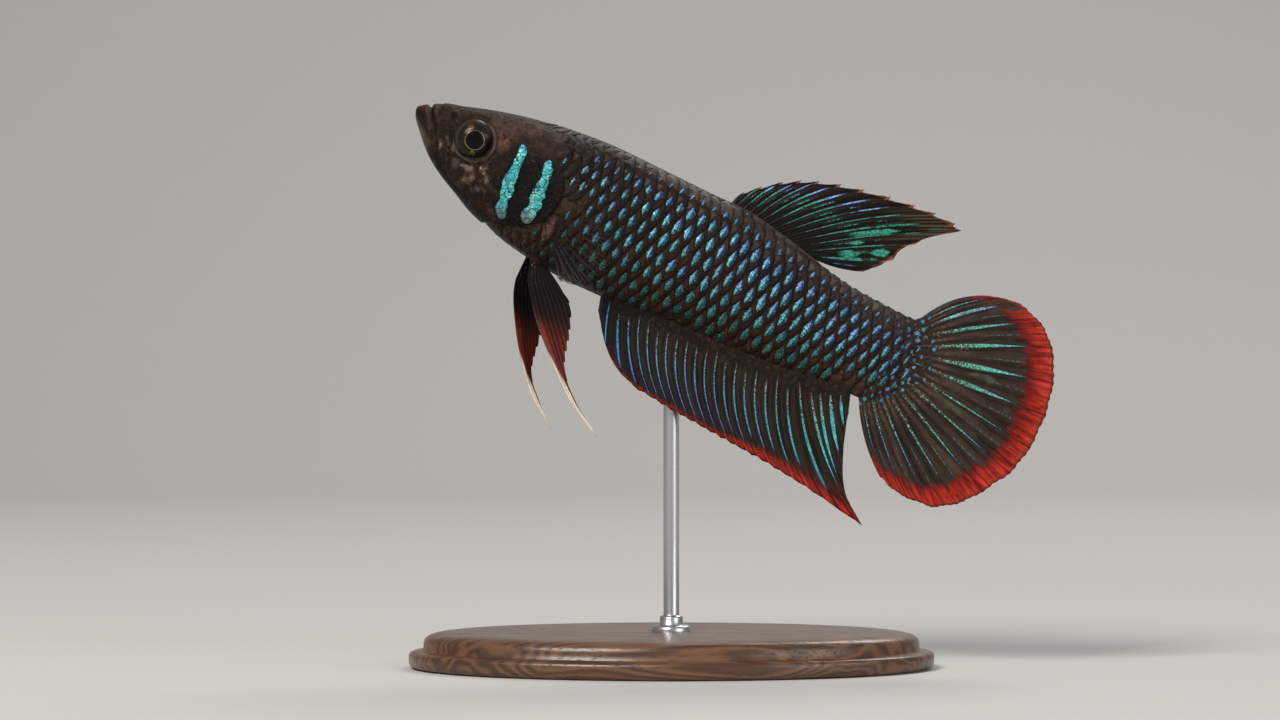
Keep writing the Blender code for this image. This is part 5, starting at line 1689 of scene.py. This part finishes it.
SWEEP_BEND = 0.30
SWEEP_REAR = 0.45
SWEEP_FRONT = -0.9
SWEEP_TOP = 1.3
SWEEP_HALF = 1.6
SENSOR_WIDTH = 36.0
# Width that the camera sees at the fish's middle plane, and what it looks at there
VIEW_WIDTH = 0.112128
VIEW_MIDDLE = (-0.002756, 0.02698)
LIGHTS_AIM = (0.0, 0.0, 0.03)
# Lights: (name, place, size, power, colour)
LIGHTS = (
    ("key", (-0.28, -0.42, 0.46), 0.30, 3.6, (1.0, 0.97, 0.93)),
    ("fill", (0.46, -0.40, 0.20), 0.45, 1.2, (0.93, 0.96, 1.0)),
    ("rim", (0.20, 0.42, 0.50), 0.30, 1.3, (1.0, 1.0, 1.0)),
)
WORLD_COLOUR = (0.80, 0.82, 0.85, 1.0)
WORLD_STRENGTH = 0.28


def add_light(name, place, size, power, tint):
    light = bpy.data.lights.new(name, "AREA")
    light.shape = "DISK"
    light.size = size
    light.energy = power
    light.color = tint
    lamp = bpy.data.objects.new(name, light)
    bpy.context.scene.collection.objects.link(lamp)
    lamp.location = place
    direction = Vector(LIGHTS_AIM) - Vector(place)
    lamp.rotation_euler = direction.to_track_quat("-Z", "Y").to_euler()


# ---------------------------------------------------------------- operators

SIDES = ((-1, "left"), (1, "right"))
# Thickness of the sheets laid on the skin, in millimetres
SCALE_THICKNESS = 0.03
MARK_THICKNESS = 0.02
BAR_THICKNESS = 0.03


class BettaStage(bpy.types.Operator):
    """Camera, pale floor that curves up into a backdrop, and soft lights"""
    bl_idname = "betta.stage"
    bl_label = "Studio"

    def execute(self, context):
        profile = [(SWEEP_FRONT, 0.0), (SWEEP_REAR - 0.10, 0.0)]
        profile += [(SWEEP_REAR + SWEEP_BEND * math.sin(turn), SWEEP_BEND - SWEEP_BEND * math.cos(turn))
                    for turn in np.linspace(0.0, math.pi / 2, 25)]
        profile += [(SWEEP_REAR + SWEEP_BEND, height) for height in (0.9, SWEEP_TOP)]
        table = np.array(profile)
        across = np.linspace(SWEEP_HALF, -SWEEP_HALF, 9)[None]
        points = vectors(across, table[:, :1], table[:, 1:])[None]
        add("studio_sweep", lay_out("studio_sweep", points, carry=np.array), studio_material())

        camera = bpy.data.cameras.new("camera")
        camera.sensor_width = SENSOR_WIDTH
        camera.lens = SENSOR_WIDTH * sizes().view_distance / VIEW_WIDTH
        camera.clip_start = 0.01
        holder = bpy.data.objects.new("camera", camera)
        context.scene.collection.objects.link(holder)
        holder.location = (VIEW_MIDDLE[0], -sizes().view_distance, VIEW_MIDDLE[1])
        holder.rotation_euler = (math.pi / 2, 0.0, 0.0)
        context.scene.camera = holder

        for light in LIGHTS:
            add_light(*light)
        world = bpy.data.worlds.new("studio")
        world.use_nodes = True
        background = world.node_tree.nodes["Background"].inputs
        background["Color"].default_value = WORLD_COLOUR
        background["Strength"].default_value = WORLD_STRENGTH
        context.scene.world = world
        context.scene.view_settings.view_transform = "Standard"
        return {"FINISHED"}


class BettaSkin(bpy.types.Operator):
    """One closed skin over head, jaw, gill covers, trunk and tail stalk"""
    bl_idname = "betta.skin"
    bl_label = "Skin"

    def execute(self, context):
        points, zone, lie, bake = skin_points()
        mesh = lay_out("skin", points[None], {"zone": zone[None], "lie": lie[None]}, bake[None], weld=True)
        add("skin", mesh, skin_material(), "dark_skin",
            ("head", "lower_jaw", "gill_cover_left", "gill_cover_right", "trunk", "tail_stalk"))
        return {"FINISHED"}


class BettaScales(bpy.types.Operator):
    """Scales of both flanks, row by row, and the metallic mark on each"""
    bl_idname = "betta.scales"
    bl_label = "Scales"

    def execute(self, context):
        cloth, metal = scale_material(), glint_material()
        for side, word in SIDES:
            places = scale_places(side)
            random = draws(11 + side)
            jitter = random.uniform(-1.0, 1.0, (len(places), JITTER_COLUMNS))
            jitter[:, TINT] = 0.5 + 0.5 * jitter[:, TINT]
            add_sheets("scales_" + word, scale_cloth(places, side, jitter),
                       cloth, "scaled_flank", SCALE_THICKNESS)
            add_sheets("metallic_marks_" + word, glint_cloth(places, side, jitter),
                       metal, "scaled_flank", MARK_THICKNESS)
        return {"FINISHED"}


class BettaBars(bpy.types.Operator):
    """The two bright bars of small plates on each gill cover"""
    bl_idname = "betta.bars"
    bl_label = "Gill bars"

    def execute(self, context):
        metal = bar_material()
        for side, word in SIDES:
            add_sheets("gill_bars_" + word, bar_cloth(side), metal, "gill_cover", BAR_THICKNESS)
        return {"FINISHED"}


class BettaEyes(bpy.types.Operator):
    """Both eyes, with iris and clear dome"""
    bl_idname = "betta.eyes"
    bl_label = "Eyes"

    def execute(self, context):
        material = eye_material()
        for side, word in SIDES:
            points, iris, bake = eye_points(side)
            mesh = lay_out("eyeball_" + word, points[None], {"iris": iris[None]}, bake[None], weld=True)
            add("eyeball_" + word, mesh, material, "eye", ("eye_" + word,))
        return {"FINISHED"}


class BettaMedianFins(bpy.types.Operator):
    """Dorsal, anal and tail fins with raised, branching rays"""
    bl_idname = "betta.median_fins"
    bl_label = "Dorsal, anal and tail fins"

    def execute(self, context):
        dorsal = median_fin(
            on_back, to_edge(DORSAL_EDGE), bow=lambda u: DORSAL_BOW * (1.0 - 2.0 * u ** 6),
            sway=lambda u, share: 0.5 * share * share * np.sin(5.0 * u + 1.0),
            inset=0.9, notch=0.14, fringe=0.05, teeth=4, seed=21, saw=0.55)
        anal = median_fin(
            on_belly, to_edge(ANAL_EDGE), bow=lambda u: -ANAL_BOW * (1.0 - (1.0 - u) ** 8) * (1.0 - u ** 6),
            sway=lambda u, share: -0.25 * share * share * np.sin(9.0 * u + 0.8),
            inset=0.9, notch=0.11, fringe=0.05, teeth=3, seed=22)
        tail = median_fin(
            on_stalk, to_edge(TAIL_EDGE), bow=lambda u: TAIL_BOW[0] * (1.0 - u) ** 8 - TAIL_BOW[1] * u ** 8,
            sway=lambda u, share: 0.8 * share * share * np.sin(6.0 * u + 0.4),
            inset=1.6, notch=0.12, fringe=0.08, teeth=4, seed=23)
        # Fins: (name, middle surface, rays, columns, rows, swell of the base, material, node)
        fins = (
            ("dorsal_rays", dorsal, even(15), 168, 34, 0.12, dorsal_material(), "dorsal_fin"),
            ("anal_rays", anal, even(26), 250, 34, 0.50, anal_material(), "anal_fin"),
            ("tail_rays", tail, TAIL_RAYS, 224, 46, 0.15, tail_material(), "caudal_fin"),
        )
        for name, centre, rays, columns, rows, swell, material, node in fins:
            mesh = lay_out(name, *fin_sheet(centre, rays, columns, rows, swell=swell), weld=True)
            add(name, mesh, material, "fin_membrane", (node,))
        return {"FINISHED"}


class BettaPairedFins(bpy.types.Operator):
    """Smoky pectoral fins and long red pelvic fins"""
    bl_idname = "betta.paired_fins"
    bl_label = "Pectoral and pelvic fins"

    def execute(self, context):
        smoky = pectoral_material()
        dusky = pelvic_material("pelvic_fin_left", (0.0125, 0.0078, 0.0072), (0.088, 0.0185, 0.0150))
        dark = pelvic_material("pelvic_fin_right", (0.0025, 0.0015, 0.0012), (0.062, 0.0085, 0.0035))
        for (side, word), knots, red in zip(SIDES, (PELVIC_LEFT, PELVIC_RIGHT), (dusky, dark)):
            pectoral = fin_sheet(pectoral_centre(side), even(11), columns=80, rows=22)
            mesh = lay_out("pectoral_rays_" + word, *pectoral, weld=True)
            add("pectoral_rays_" + word, mesh, smoky, "smoky_fin", ("pectoral_fin_" + word,))
            pelvic = fin_sheet(pelvic_centre(knots, side), even(10), columns=72, rows=60, branches=(0.0, 0.0))
            mesh = lay_out("pelvic_rays_" + word, *pelvic, weld=True)
            add("pelvic_rays_" + word, mesh, red, "red_fin", ("pelvic_fin_" + word,))
        return {"FINISHED"}


class BettaStand(bpy.types.Operator):
    """Walnut base and steel rod"""
    bl_idname = "betta.stand"
    bl_label = "Stand"

    def execute(self, context):
        halves = BASE_SIZE[0] / 2, BASE_SIZE[1] / 2
        base = turned("stand_base_walnut", BASE_PROFILE, halves, (0.0, 0.0), BASE_SIDES)
        add("stand_base_walnut", base, walnut_material(), "walnut", ("stand_base",))
        rod = turned("stand_rod_steel", ROD_PROFILE, (1.0, 1.0), ROD_PLACE, ROD_SIDES)
        add("stand_rod_steel", rod, steel_material(), "brushed_steel", ("stand_rod",))
        return {"FINISHED"}


class BETTA_PT_panel(bpy.types.Panel):
    """Sizes, colours and steps of the model"""
    bl_idname = "BETTA_PT_panel"
    bl_label = "Betta fish model"
    bl_space_type = "VIEW_3D"
    bl_region_type = "UI"
    bl_category = "Betta"

    def draw(self, context):
        for group in (context.scene.betta_sizes, context.scene.betta_colours):
            box = self.layout.box()
            for key in group.__annotations__:
                box.prop(group, key)
        for operator in OPERATORS:
            self.layout.operator(operator.bl_idname)


OPERATORS = (
    BettaStage, BettaSkin, BettaScales, BettaBars, BettaEyes, BettaMedianFins, BettaPairedFins, BettaStand,
)
CLASSES = (BettaSizes, BettaColours) + OPERATORS + (BETTA_PT_panel,)


def register():
    for one in CLASSES:
        bpy.utils.register_class(one)
    bpy.types.Scene.betta_sizes = PointerProperty(type=BettaSizes)
    bpy.types.Scene.betta_colours = PointerProperty(type=BettaColours)


def unregister():
    del bpy.types.Scene.betta_colours
    del bpy.types.Scene.betta_sizes
    for one in reversed(CLASSES):
        bpy.utils.unregister_class(one)


def main():
    register()
    bpy.ops.betta.stage()
    bpy.ops.betta.skin()
    bpy.ops.betta.scales()
    bpy.ops.betta.bars()
    bpy.ops.betta.eyes()
    bpy.ops.betta.median_fins()
    bpy.ops.betta.paired_fins()
    bpy.ops.betta.stand()


if __name__ == "__main__":
    main()
